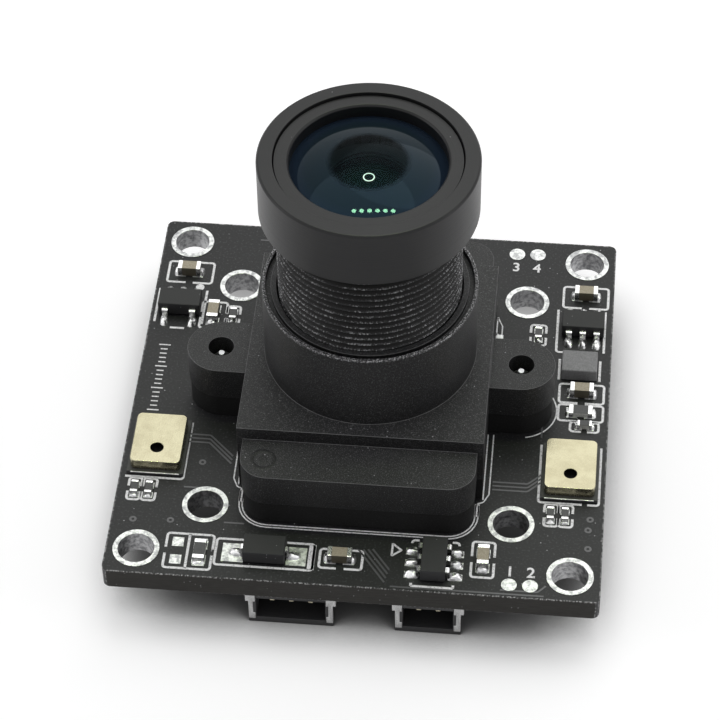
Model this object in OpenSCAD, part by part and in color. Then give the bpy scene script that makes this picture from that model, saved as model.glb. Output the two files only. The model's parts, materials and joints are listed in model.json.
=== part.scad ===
// Board camera module: a square circuit board that carries a moulded lens holder with a
// screw-in focusing lens, the image sensor under it, two microphones and three wire headers.
// The origin is the centre of the mounting-hole patterns on the board's underside.
// +Z runs along the optical axis, out of the lens. -Y is the edge with the two small headers.

/* [Board] */
// Side of the square board
board_side = 32; // [32:0.5:44]
// Thickness of the board
board_t = 1.6; // [1:0.1:2.4]
// Radius of the board's corners
board_corner_r = 0.5; // [0.2:0.1:1.5]
// Distance from each edge to the corner mounting holes
corner_hole_inset = 2; // [1.8:0.1:2.4]
// Spacing of the inner mounting holes, both ways
inner_hole_spacing = 20; // [19.6:0.1:20.4]
// Bore of the plated mounting holes
mount_hole_d = 2.35; // [2:0.05:2.6]
// Width of the plated ring round each mounting hole
plated_ring_w = 0.35; // [0.2:0.05:0.5]
// Thickness of the plating
plating_t = 0.05; // [0.03:0.01:0.08]

/* [Lens holder] */
// Side of the square shoulder block
block_w = 16; // [15.6:0.1:16.6]
// Height of the shoulder block above the board
block_h = 5.5; // [5.2:0.1:7]
// Width of the front and rear ledges
ledge_w = 15.2; // [14.4:0.1:15.6]
// Distance from the optical axis to the front of a ledge
ledge_reach = 11.2; // [10.6:0.1:11.4]
// Height of the ledges and the screw ears above the board
ledge_h = 4.5; // [4.4:0.1:4.8]
// Radius of the ledges' corners
ledge_corner_r = 1.75; // [1:0.05:2]
// Height of the mould parting line above the board
parting_h = 1.9; // [1:0.1:2.6]
// Step in at the foot, below the parting line
parting_step = 0.08; // [0.04:0.02:0.16]
// Distance between the two holder screws
screw_spacing = 20; // [19.6:0.1:20.6]
// Width of the screw ears
ear_w = 4.5; // [4:0.1:5]
// Wall of the round neck, outside the lens thread
neck_wall = 1; // [0.9:0.05:1.4]
// Height of the neck's rim above the board
neck_top = 11.5; // [9:0.1:14]
// Wall of the hollow foot
holder_wall = 1.2; // [1:0.1:1.5]

/* [Holder screws] */
// Core diameter of the thread-forming screws
screw_core_d = 1.6; // [1.4:0.05:1.7]
// Diameter of the pan heads
screw_head_d = 3.2; // [2.8:0.1:3.6]
// Height of the pan heads
screw_head_h = 1.2; // [0.9:0.1:1.5]
// Depth of the screw's tip below the top of the ear
screw_tip_depth = 0.6; // [0.3:0.1:1.5]

/* [Lens] */
// Outside diameter of the lens thread
thread_d = 12; // [11.8:0.1:14.4]
// Radial running clearance of the thread in the neck
thread_clearance = 0.06; // [0.04:0.01:0.1]
// How far the lens head stands out past the thread
head_step = 1; // [0.8:0.05:2]
// Height of the lens head
head_h = 4.2; // [3.6:0.1:5]
// Height of the lens head's front face above the board
head_top = 22.5; // [22:0.1:26]
// Length of the whole barrel
barrel_len = 16.9; // [16.7:0.1:17]
// Width of the head's rim, outside the front ring
rim_w = 1.02; // [0.8:0.02:1.2]
// Width of the front ring's face
ring_w = 0.99; // [0.8:0.01:1.1]
// Depth of the front ring's face below the head's face
ring_recess = 0.2; // [0.1:0.05:0.4]
// Depth of the front glass's shoulder below the head's face
glass_shoulder = 1.2; // [1:0.05:1.3]
// Edge thickness of the front glass
front_glass_edge = 1.6; // [1.4:0.1:1.8]
// Thickness of the front glass at its centre
front_glass_centre = 0.95; // [0.8:0.05:1.2]
// Width of the front glass's shoulder, under the front ring
glass_lip = 0.51; // [0.4:0.01:0.6]
// Wall of the barrel round the inner glasses
barrel_wall = 1.5; // [1.4:0.05:1.7]
// Radial clearance of each glass in its bore
glass_clearance = 0.05; // [0.03:0.01:0.08]
// Axial gap between the glass stack and the barrel's seats
seat_gap = 0.02; // [0.02:0.01:0.05]

/* [Sensor] */
// Width of the sensor's ceramic package
sensor_w = 9.6; // [8:0.1:11]
// Depth of the sensor's ceramic package
sensor_d = 9; // [8:0.1:11]
// Height of the package
sensor_h = 1.3; // [1:0.1:1.6]
// Side of the square infrared filter
filter_w = 8.3; // [7.6:0.1:8.4]
// Thickness of the infrared filter
filter_t = 0.3; // [0.2:0.05:0.3]

/* [Microphones] */
// Width of a microphone's base
mic_w = 3.76; // [3.4:0.02:4]
// Length of a microphone's base
mic_l = 4.72; // [4.2:0.02:5]
// Height of a microphone
mic_h = 1.1; // [0.9:0.05:1.4]
// Distance from the board's side edge to a microphone's centre
mic_inset = 2.35; // [2.2:0.05:2.6]
// Distance from the optical axis back to the microphones' centres
mic_y = -5.42; // [-5.8:0.02:-5]
// Diameter of the sound port
port_d = 0.85; // [0.5:0.05:1]

/* [Headers] */
// Contact pitch
header_pitch = 1.25; // [1:0.05:1.5]
// Height of a header below the board
header_h = 2.9; // [2.7:0.1:3.6]
// Depth of a header's housing
header_depth = 4.2; // [3.8:0.1:4.6]
// Set-back of a header's mouth from the board's edge
header_setback = 0.2; // [0:0.05:1]
// Depth of a header's contacts below the board
contact_drop = 1.1; // [1:0.05:1.3]
// Housing width beyond the outer contacts, on each side
header_side = 1.5; // [1.4:0.05:1.6]

/* [Hidden] */

$fn = 96;
half = board_side / 2;
cut = 0.5;                      // how far a cutter runs past the face it leaves
corner_hole_spacing = board_side - 2 * corner_hole_inset;

// Holder: heights are above the board's top face
bore_r = thread_d / 2 + thread_clearance;
roof_z = ledge_h - holder_wall;                 // ceiling of the hollow foot
filter_fit = 0.05;
shelf_z = max(roof_z + 1, 4.3);                 // floor of the lens bore
recess_z = shelf_z - filter_t - filter_fit;     // floor of the filter's recess
window_w = filter_w - 1.5;
screw_hole_d = screw_core_d + 0.1;
board_screw_hole_d = screw_core_d + 0.6;
screw_tip_z = ledge_h - screw_tip_depth;
neck_r = thread_d / 2 + neck_wall;
lip_w = 0.22;                                   // outer lip round the neck's mouth
collar_w = 0.37;                                // inner collar round the bore
groove_outer_r = neck_r - lip_w;
groove_inner_r = bore_r + collar_w;
groove_depth = 0.45;
collar_drop = 0.1;

// Lens: every depth is measured down from the head's front face
lens_z0 = board_t + head_top;
head_r = thread_d / 2 + head_step;
ring_bore_r = head_r - rim_w;
ring_fit = 0.06;
ring_h = glass_shoulder - ring_recess - seat_gap;
ring_aperture_r = ring_bore_r - ring_w;
dome_r = ring_aperture_r - 0.04;
dome_rim = glass_shoulder - 0.07;
dome_apex = 0.08;
front_glass_r = ring_aperture_r + glass_lip;
front_seat = glass_shoulder + front_glass_edge;
stack_r = thread_d / 2 - barrel_wall;
inner_r = stack_r - glass_clearance;
spacer_wall = 0.85;
spacer_r = inner_r - spacer_wall;
dome_margin = 0.3;                              // from a spacer's bore to the glass dome in it
bowl_r = spacer_r - dome_margin - 0.55;
bowl_sag = front_seat - dome_apex - front_glass_centre;
upper_spacer_h = 0.7;
second_h = 2.2;
middle_spacer_h = 3.2;
stop_h = 0.3;
third_h = 2;
rear_spacer_h = 1.5;
rear_h = 2;
second_d = front_seat + upper_spacer_h;
middle_d = second_d + second_h;
stop_d = middle_d + middle_spacer_h;
third_d = stop_d + stop_h;
rear_spacer_d = third_d + third_h;
rear_d = rear_spacer_d + rear_spacer_h;
rear_seat = rear_d + rear_h;
rear_aperture_r = spacer_r - 0.2;
second_front = [spacer_r - dome_margin, 1.6];   // rim radius and height of each glass's caps
second_rear = [spacer_r - 1, -0.8];
third_front = [0.7, 0.1];
third_rear = [spacer_r - 0.4, 0.5];
rear_front = [spacer_r - 0.4, 0.6];
rear_rear = [rear_aperture_r - 0.6, 0.4];
stop_r = 0.9;

// Microphones
mic_x = half - mic_inset;
mic_base_t = 0.3;
lid_margin_x = 0.21;
lid_margin_y = 0.24;
lid_wall = 0.12;
lid_corner_r = 0.35;
port_offset = -0.85;

// Headers
clip_w = 0.45;
clip_t = 0.2;
clip_foot = 1.2;
clip_foot_l = 1.3;
clip_web_h = 0.85;
cavity_wall = 0.5;
cavity_depth = header_depth - 1;
pin_w = 0.32;
pin_recess = 0.5;
tail_l = 1.2;
tail_t = 0.2;
header_y = half - header_setback;
three_way_x = -3.85;
two_way_x = 5.05;

// Chips and passives: [length, width, height]
size_0603 = [1.6, 0.8, 0.8];
size_0402 = [1, 0.5, 0.45];
sot_body = [2.9, 1.6, 1.0];
sot_pitch = 0.95;
sot_foot_reach = 0.6;
standoff = 0.1;
lead_w = 0.4;
lead_t = 0.15;
diode_body = [2.7, 1.6, 1.0];
inductor_body = [2.4, 1.9, 1];
controller_body = [8, 8, 0.85];
flash_body = [4.9, 3.9, 1.5];
flash_pitch = 1.27;
flash_foot_reach = 1.05;
crystal_body = [3.2, 2.5, 0.75];

// Places on the top side: x and y of each part's centre, tied to the edge it stands near
row_y = -(half - 2.2);
side_x = half - 2;
front_chip_at = [5.27, row_y + 0.05];
diode_at = [-5.65, row_y - 0.05];
front_capacitor_at = [-0.8, row_y];
front_right_capacitor_at = [8.38, row_y + 0.6];
front_resistor_at = [-9.85, row_y - 0.2];
left_rear_capacitor_at = [-side_x + 0.2, 11];
regulator_at = [-side_x, 7.6];
left_side_capacitor_at = [-side_x + 2.38, 7];
left_side_resistor_at = [-side_x + 3.75, 7];
right_rear_capacitor_at = [side_x + 0.05, 10.85];
converter_at = [side_x - 0.05, 7.75];
inductor_at = [side_x - 0.15, 3.9];
right_side_capacitor_at = [side_x + 0.1, 1.75];
rear_right_resistor_at = [side_x - 3.07, 6.9];
right_side_resistor_at = [side_x + 0.1, 0];
right_small_resistor_at = [side_x + 0.4, -1.2];
mic_resistor_x = [-1.15, -0.2];
mic_resistor_dy = -3.68;

// Places on the underside
flash_at = [7.4, 5.6];
crystal_at = [-6.8, 3.4];
underside_capacitors_at = [[-6.2, -1.4], [-6.2, -3.4], [6.2, -3.4], [6.2, -5.4]];

// ---- Shared shapes ----

// A box centred in x and y that stands on z = 0
module block(size) {
    translate([-size[0] / 2, -size[1] / 2, 0]) cube(size);
}

// A plate with rounded upright edges that stands on z = 0
module rounded_plate(w, d, h, r) {
    linear_extrude(height = h) {
        square([w - 2 * r, d], center = true);
        square([w, d - 2 * r], center = true);
        for (x = [-1, 1], y = [-1, 1])
            translate([x * (w / 2 - r), y * (d / 2 - r)]) circle(r = r);
    }
}

// Repeats a child at the corners of a square pattern
module at_square(spacing) {
    for (x = [-1, 1], y = [-1, 1])
        translate([x * spacing / 2, y * spacing / 2, 0]) children();
}

module on_board(at = [0, 0]) {
    translate([at[0], at[1], board_t]) children();
}

// Puts a child on the underside, upside down
module under_board(at = [0, 0]) {
    translate([at[0], at[1], 0]) rotate([180, 0, 0]) children();
}

// A ring that stands on z = 0
module ring(outer_r, inner_r, h) {
    difference() {
        cylinder(r = outer_r, h = h);
        translate([0, 0, -cut]) cylinder(r = inner_r, h = h + 2 * cut);
    }
}

// Radius of the sphere whose cap has this rim radius and this height
function cap_r(rim, sag) = (rim * rim + sag * sag) / (2 * sag);

// A disc of glass, z = 0 at its rear face, with a convex cap on the front (rim, sag)
// and another on the rear; a negative rear sag is a hollow
module glass(r, h, front, rear) {
    front_sphere = cap_r(front[0], front[1]);
    rear_sphere = cap_r(rear[0], abs(rear[1]));
    difference() {
        union() {
            cylinder(r = r, h = h);
            if (front[1] > 0) intersection() {
                translate([0, 0, h + front[1] - front_sphere]) sphere(r = front_sphere);
                cylinder(r = front[0], h = h + front[1]);
            }
            if (rear[1] > 0) intersection() {
                translate([0, 0, rear_sphere - rear[1]]) sphere(r = rear_sphere);
                translate([0, 0, -rear[1]]) cylinder(r = rear[0], h = h + rear[1]);
            }
        }
        if (rear[1] < 0)
            translate([0, 0, -rear[1] - rear_sphere]) sphere(r = rear_sphere);
    }
}

// Puts a child of height h so that its top lies at the given depth below the lens head's face
module in_lens(depth, h) {
    translate([0, 0, lens_z0 - depth - h]) children();
}

// ---- Board ----

module circuit_board() {
    color([0.07, 0.07, 0.08]) difference() {
        rounded_plate(board_side, board_side, board_t, board_corner_r);
        translate([0, 0, -cut]) {
            at_square(corner_hole_spacing)
                cylinder(d = mount_hole_d + 2 * plating_t, h = board_t + 2 * cut);
            at_square(inner_hole_spacing)
                cylinder(d = mount_hole_d + 2 * plating_t, h = board_t + 2 * cut);
            for (x = [-1, 1]) translate([x * screw_spacing / 2, 0, 0])
                cylinder(d = board_screw_hole_d, h = board_t + 2 * cut);
        }
    }
}

// Tinned barrels with a flat ring on both faces of the board
module hole_platings(spacing) {
    ring_d = mount_hole_d + 2 * plated_ring_w;
    color([0.75, 0.75, 0.76]) at_square(spacing) difference() {
        union() {
            translate([0, 0, -plating_t]) cylinder(d = ring_d, h = plating_t);
            translate([0, 0, board_t]) cylinder(d = ring_d, h = plating_t);
            cylinder(d = mount_hole_d + 2 * plating_t, h = board_t);
        }
        translate([0, 0, -cut]) cylinder(d = mount_hole_d, h = board_t + 2 * cut);
    }
}

module corner_hole_platings() { hole_platings(corner_hole_spacing); }

module inner_hole_platings() { hole_platings(inner_hole_spacing); }

// ---- Lens holder ----

// Outline of the ledges, the block and the ears; grow moves its walls out
module holder_foot(h, grow) {
    rounded_plate(ledge_w + 2 * grow, 2 * (ledge_reach + grow), h, ledge_corner_r + grow);
    block([screw_spacing, ear_w + 2 * grow, h]);
    for (x = [-1, 1]) translate([x * screw_spacing / 2, 0, 0])
        cylinder(d = ear_w + 2 * grow, h = h);
}

module lens_holder() {
    color([0.11, 0.11, 0.12]) on_board() difference() {
        union() {
            holder_foot(parting_h, -parting_step);
            translate([0, 0, parting_h]) holder_foot(ledge_h - parting_h, 0);
            block([block_w, block_w, block_h]);
            cylinder(r = neck_r, h = neck_top);
        }
        // hollow foot over the sensor
        translate([0, 0, -cut])
            rounded_plate(ledge_w - 2 * holder_wall, 2 * (ledge_reach - holder_wall),
                          roof_z + cut, ledge_corner_r - holder_wall / 2);
        translate([0, 0, roof_z - cut]) block([window_w, window_w, shelf_z]);
        translate([0, 0, recess_z])
            block([filter_w + 2 * filter_fit, filter_w + 2 * filter_fit, shelf_z]);
        translate([0, 0, shelf_z]) cylinder(r = bore_r, h = neck_top);
        // groove round the mouth and the lower collar inside it
        translate([0, 0, neck_top - groove_depth])
            ring(groove_outer_r, groove_inner_r, groove_depth + cut);
        translate([0, 0, neck_top - collar_drop]) cylinder(r = groove_inner_r + 0.1, h = cut);
        for (x = [-1, 1]) translate([x * screw_spacing / 2, 0, -cut])
            cylinder(d = screw_hole_d, h = ledge_h + 2 * cut);
    }
}

// Two thread-forming screws, put in from the underside
module holder_screws() {
    tip = screw_core_d / 2;
    recess_w = 0.45;
    color([0.62, 0.62, 0.64])
        for (x = [-1, 1]) translate([x * screw_spacing / 2, 0, 0]) difference() {
            union() {
                translate([0, 0, -screw_head_h / 2])
                    cylinder(d = screw_head_d, h = screw_head_h / 2);
                translate([0, 0, -screw_head_h])
                    cylinder(d1 = screw_head_d - 1, d2 = screw_head_d, h = screw_head_h / 2);
                cylinder(d = screw_core_d, h = board_t + screw_tip_z - tip);
                translate([0, 0, board_t + screw_tip_z - tip])
                    cylinder(d1 = screw_core_d, d2 = 0.4, h = tip);
            }
            translate([0, 0, -screw_head_h - cut]) {
                block([screw_head_d * 0.55, recess_w, cut + screw_head_h * 0.6]);
                block([recess_w, screw_head_d * 0.55, cut + screw_head_h * 0.6]);
            }
        }
}

// ---- Sensor ----

package_floor = 0.5;
package_rim = 0.9;
glass_t = 0.4;

module sensor_package() {
    color([0.28, 0.26, 0.24]) on_board() difference() {
        block([sensor_w, sensor_d, sensor_h]);
        translate([0, 0, package_floor])
            block([sensor_w - 2 * package_rim, sensor_d - 2 * package_rim, sensor_h]);
    }
}

module sensor_die() {
    color([0.2, 0.25, 0.4]) on_board() translate([0, 0, package_floor])
        block([sensor_w - 2 * package_rim - 1.2, sensor_d - 2 * package_rim - 2, 0.3]);
}

module sensor_cover_glass() {
    color([0.7, 0.8, 0.85, 0.4]) on_board() translate([0, 0, sensor_h])
        block([sensor_w - 0.6, sensor_d - 0.6, glass_t]);
}

module infrared_filter() {
    color([0.5, 0.75, 0.8, 0.5]) on_board() translate([0, 0, recess_z])
        block([filter_w, filter_w, filter_t]);
}

// ---- Lens ----

module lens_barrel() {
    r = thread_d / 2;
    edge = 0.12;                     // chamfer on the head's edges
    lead_in = 0.35;                  // chamfer at the barrel's foot
    glass_bore_r = front_glass_r + glass_clearance;
    color([0.13, 0.13, 0.14]) translate([0, 0, lens_z0]) rotate_extrude() polygon([
        [ring_bore_r, 0], [head_r - edge, 0], [head_r, -edge],
        [head_r, -head_h + edge], [head_r - edge, -head_h],
        [r, -head_h], [r, -barrel_len + lead_in], [r - lead_in, -barrel_len],
        [rear_aperture_r, -barrel_len], [rear_aperture_r, -rear_seat - seat_gap],
        [stack_r, -rear_seat - seat_gap], [stack_r, -front_seat - seat_gap],
        [glass_bore_r, -front_seat - seat_gap], [glass_bore_r, -glass_shoulder],
        [ring_bore_r, -glass_shoulder]
    ]);
}

// Threaded ring that holds the glass stack, with a sloping inner edge
module front_ring() {
    outer = ring_bore_r - ring_fit;
    inner = ring_aperture_r;
    slope = 0.12;                    // bevel at the ring's inner edge
    color([0.15, 0.15, 0.16]) in_lens(ring_recess, ring_h) rotate_extrude() polygon([
        [inner, 0], [outer, 0], [outer, ring_h],
        [inner + slope, ring_h], [inner, ring_h - slope]
    ]);
}

// Deeply curved front glass: a dome that stands in the ring, a shoulder, and a hollow rear
module front_glass() {
    color([0.12, 0.22, 0.26, 0.6]) in_lens(glass_shoulder, front_glass_edge) difference() {
        union() {
            cylinder(r = front_glass_r, h = front_glass_edge);
            intersection() {
                dome_sphere = cap_r(dome_r, dome_rim - dome_apex);
                translate([0, 0, front_seat - dome_apex - dome_sphere])
                    sphere(r = dome_sphere);
                cylinder(r = dome_r, h = front_seat);
            }
        }
        translate([0, 0, bowl_sag - cap_r(bowl_r, bowl_sag)])
            sphere(r = cap_r(bowl_r, bowl_sag));
    }
}

module spacer(depth, h) {
    color([0.1, 0.1, 0.1]) in_lens(depth, h) ring(inner_r, spacer_r, h);
}

module upper_spacer() { spacer(front_seat, upper_spacer_h); }

module second_glass() {
    color([0.2, 0.3, 0.32, 0.6]) in_lens(second_d, second_h)
        glass(inner_r, second_h, second_front, second_rear);
}

module middle_spacer() { spacer(middle_d, middle_spacer_h); }

// Thin disc whose hole sets the lens's speed
module aperture_stop() {
    color([0.1, 0.1, 0.1]) in_lens(stop_d, stop_h) ring(inner_r, stop_r, stop_h);
}

module third_glass() {
    color([0.3, 0.35, 0.4, 0.6]) in_lens(third_d, third_h)
        glass(inner_r, third_h, third_front, third_rear);
}

module rear_spacer() { spacer(rear_spacer_d, rear_spacer_h); }

module rear_glass() {
    color([0.3, 0.35, 0.4, 0.6]) in_lens(rear_d, rear_h)
        glass(inner_r, rear_h, rear_front, rear_rear);
}

// ---- Microphones ----

module microphone_base(side) {
    color([0.06, 0.06, 0.06]) on_board([side * mic_x, mic_y])
        block([mic_w, mic_l, mic_base_t]);
}

// Drawn metal can with the sound port in its top
module microphone_lid(side) {
    w = mic_w - 2 * lid_margin_x;
    l = mic_l - 2 * lid_margin_y;
    h = mic_h - mic_base_t;
    color([0.86, 0.8, 0.6]) on_board([side * mic_x, mic_y]) translate([0, 0, mic_base_t])
        difference() {
            rounded_plate(w, l, h, lid_corner_r);
            translate([0, 0, -cut]) rounded_plate(w - 2 * lid_wall, l - 2 * lid_wall,
                h - lid_wall + cut, lid_corner_r - lid_wall);
            translate([0, port_offset, 0]) cylinder(d = port_d, h = h + cut);
        }
}

module left_microphone_base() { microphone_base(-1); }

module left_microphone_lid() { microphone_lid(-1); }

module right_microphone_base() { microphone_base(1); }

module right_microphone_lid() { microphone_lid(1); }

// ---- Headers ----

// Side-entry headers hang under the board: mouth at y = 0, back towards +y, board at z = 0
function header_w(ways) = (ways - 1) * header_pitch + 2 * header_side;

// Place of a header: those on the front edge face -Y, the one on the rear edge faces +Y
module at_header(x, facing) {
    translate([x, facing * header_y, 0]) rotate([0, 0, facing < 0 ? 0 : 180]) children();
}

module header_contacts(ways) {
    back = header_depth;
    pin_z = -contact_drop - pin_w / 2;
    for (i = [0 : ways - 1]) translate([(i - (ways - 1) / 2) * header_pitch - pin_w / 2, 0, 0])
        union() {
            translate([0, pin_recess, pin_z]) cube([pin_w, back + tail_t - pin_recess, pin_w]);
            translate([0, back, pin_z]) cube([pin_w, tail_t, -pin_z]);
            translate([0, back, -tail_t]) cube([pin_w, tail_l, tail_t]);
        }
}

// Tinned clips in the side walls: an upright strip with a notch, a web down the housing's
// side, and a foot on the board
module header_clips(ways) {
    edge = header_w(ways) / 2;
    strip_h = header_h - 0.3;
    notch_w = 0.15;
    notch_h = 1.1;
    notch_z = -strip_h + 0.6;
    for (side = [0, 1]) mirror([side, 0, 0]) difference() {
        union() {
            translate([edge - clip_w, 0, -strip_h]) cube([clip_w, clip_t, strip_h]);
            translate([edge - clip_w, 0, -clip_web_h])
                cube([clip_w + tail_t, clip_foot_l, clip_web_h]);
            translate([edge, 0, -tail_t]) cube([clip_foot, clip_foot_l, tail_t]);
        }
        translate([edge - clip_w - cut, -cut, notch_z])
            cube([notch_w + cut, clip_t + 2 * cut, notch_h]);
    }
}

module header_housing(ways) {
    w = header_w(ways);
    difference() {
        translate([-w / 2, 0, -header_h]) cube([w, header_depth, header_h]);
        translate([-w / 2 + cavity_wall, -cut, -header_h + cavity_wall])
            cube([w - 2 * cavity_wall, cavity_depth + cut, header_h - 2 * cavity_wall]);
        header_contacts(ways);
        header_clips(ways);
    }
}

module three_way_housing() { color([0.1, 0.1, 0.1]) at_header(three_way_x, -1) header_housing(3); }

module three_way_contacts() { color([0.8, 0.78, 0.7]) at_header(three_way_x, -1) header_contacts(3); }

module three_way_clips() { color([0.75, 0.75, 0.76]) at_header(three_way_x, -1) header_clips(3); }

module two_way_housing() { color([0.1, 0.1, 0.1]) at_header(two_way_x, -1) header_housing(2); }

module two_way_contacts() { color([0.8, 0.78, 0.7]) at_header(two_way_x, -1) header_contacts(2); }

module two_way_clips() { color([0.75, 0.75, 0.76]) at_header(two_way_x, -1) header_clips(2); }

module usb_housing() { color([0.1, 0.1, 0.1]) at_header(0, 1) header_housing(5); }

module usb_contacts() { color([0.8, 0.78, 0.7]) at_header(0, 1) header_contacts(5); }

module usb_clips() { color([0.75, 0.75, 0.76]) at_header(0, 1) header_clips(5); }

// ---- Chips ----

// Moulded body on its standoff, long side along x
module chip_body(size) {
    color([0.12, 0.12, 0.13]) translate([0, 0, standoff]) block(size);
}

// One gull-wing lead that leaves the body's side at y = 0 and runs out along +y
module gull_lead(reach, body_h) {
    shoulder = reach * 0.4;
    exit_z = standoff + body_h / 2;
    color([0.78, 0.78, 0.78]) translate([-lead_w / 2, 0, 0]) union() {
        translate([0, 0, exit_z]) cube([lead_w, shoulder, lead_t]);
        translate([0, shoulder - lead_t, 0]) cube([lead_w, lead_t, exit_z + lead_t]);
        translate([0, shoulder - lead_t, 0]) cube([lead_w, reach - shoulder + lead_t, lead_t]);
    }
}

// Leads along the +y side, at the given places in x
module lead_row(places, reach, body) {
    for (x = places) translate([x, body[1] / 2, 0]) gull_lead(reach, body[2]);
}

three_leads = [-sot_pitch, 0, sot_pitch];
two_leads = [-sot_pitch, sot_pitch];

module sot_leads(front, rear) {
    lead_row(rear, sot_foot_reach, sot_body);
    rotate([0, 0, 180]) lead_row(front, sot_foot_reach, sot_body);
}

module front_chip() { on_board(front_chip_at) rotate([0, 0, 90]) chip_body(sot_body); }

module front_chip_leads() {
    on_board(front_chip_at) rotate([0, 0, 90]) sot_leads(three_leads, three_leads);
}

module converter_chip() { on_board(converter_at) chip_body(sot_body); }

module converter_chip_leads() { on_board(converter_at) sot_leads(three_leads, three_leads); }

module regulator_chip() { on_board(regulator_at) chip_body(sot_body); }

module regulator_chip_leads() { on_board(regulator_at) sot_leads(two_leads, three_leads); }

module power_inductor() {
    color([0.45, 0.45, 0.46]) on_board(inductor_at) block(inductor_body);
}

module protection_diode() { on_board(diode_at) chip_body(diode_body); }

module protection_diode_leads() {
    turned = [diode_body[1], diode_body[0], diode_body[2]];
    on_board(diode_at) for (a = [90, -90]) rotate([0, 0, a]) lead_row([0], 0.5, turned);
}

module controller_chip() {
    color([0.1, 0.1, 0.1]) under_board() block(controller_body);
}

module flash_chip() { under_board(flash_at) rotate([0, 0, 90]) chip_body(flash_body); }

module flash_chip_leads() {
    four_leads = [for (i = [-1.5 : 1 : 1.5]) i * flash_pitch];
    under_board(flash_at) rotate([0, 0, 90])
        for (a = [0, 180]) rotate([0, 0, a]) lead_row(four_leads, flash_foot_reach, flash_body);
}

// Metal can on a narrower ceramic base
module crystal() {
    base_t = 0.35;
    rim = 0.15;
    color([0.7, 0.7, 0.68]) under_board(crystal_at) union() {
        block([crystal_body[0], crystal_body[1], base_t]);
        block([crystal_body[0] - 2 * rim, crystal_body[1] - 2 * rim, crystal_body[2]]);
    }
}

// ---- Chip capacitors and resistors ----

// Ceramic body with two plated ends, long side along x
module chip_part(size, tint) {
    end = size[0] * 0.2;
    skin = 0.02;
    color(tint) union() {
        translate([0, 0, skin])
            block([size[0] - 2 * skin, size[1] - 2 * skin, size[2] - 2 * skin]);
        for (x = [-1, 1]) translate([x * (size[0] - end) / 2, 0, 0])
            block([end, size[1], size[2]]);
    }
}

module capacitor(at, turn = 0) {
    on_board(at) rotate([0, 0, turn]) chip_part(size_0603, [0.55, 0.52, 0.42]);
}

module resistor(at, size, turn = 0) {
    thin = [size[0], size[1], 0.45];
    on_board(at) rotate([0, 0, turn]) chip_part(thin, [0.14, 0.14, 0.15]);
}

module front_capacitor() { capacitor(front_capacitor_at); }

module front_right_capacitor() { capacitor(front_right_capacitor_at, 90); }

module left_rear_capacitor() { capacitor(left_rear_capacitor_at); }

module left_side_capacitor() { capacitor(left_side_capacitor_at, 90); }

module right_rear_capacitor() { capacitor(right_rear_capacitor_at); }

module right_side_capacitor() { capacitor(right_side_capacitor_at); }

module front_resistor() { resistor(front_resistor_at, size_0603, 90); }

module left_side_resistor() { resistor(left_side_resistor_at, size_0402, 90); }

module rear_right_resistor() { resistor(rear_right_resistor_at, size_0402, 90); }

module right_side_resistors() {
    resistor(right_side_resistor_at, size_0603);
    resistor(right_small_resistor_at, size_0402);
}

module microphone_resistors(side) {
    for (dx = mic_resistor_x)
        resistor([side * mic_x + dx, mic_y + mic_resistor_dy], size_0402, 90);
}

module left_microphone_resistors() { microphone_resistors(-1); }

module right_microphone_resistors() { microphone_resistors(1); }

module underside_capacitors() {
    for (at = underside_capacitors_at) under_board(at) chip_part(size_0603, [0.55, 0.52, 0.42]);
}

circuit_board();
corner_hole_platings();
inner_hole_platings();
lens_holder();
holder_screws();
sensor_package();
sensor_die();
sensor_cover_glass();
infrared_filter();
lens_barrel();
front_ring();
front_glass();
upper_spacer();
second_glass();
middle_spacer();
aperture_stop();
third_glass();
rear_spacer();
rear_glass();
left_microphone_base();
left_microphone_lid();
right_microphone_base();
right_microphone_lid();
three_way_housing();
three_way_contacts();
three_way_clips();
two_way_housing();
two_way_contacts();
two_way_clips();
usb_housing();
usb_contacts();
usb_clips();
front_chip();
front_chip_leads();
converter_chip();
converter_chip_leads();
regulator_chip();
regulator_chip_leads();
power_inductor();
protection_diode();
protection_diode_leads();
front_capacitor();
front_right_capacitor();
left_rear_capacitor();
left_side_capacitor();
right_rear_capacitor();
right_side_capacitor();
front_resistor();
left_side_resistor();
rear_right_resistor();
right_side_resistors();
left_microphone_resistors();
right_microphone_resistors();
controller_chip();
flash_chip();
flash_chip_leads();
crystal();
underside_capacitors();
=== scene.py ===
"""Finishes the board camera module: board, lens holder, lens, microphones, headers and chips."""

import json
import math
import random

import bmesh
import bpy
from mathutils import Matrix, Vector, noise

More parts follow.
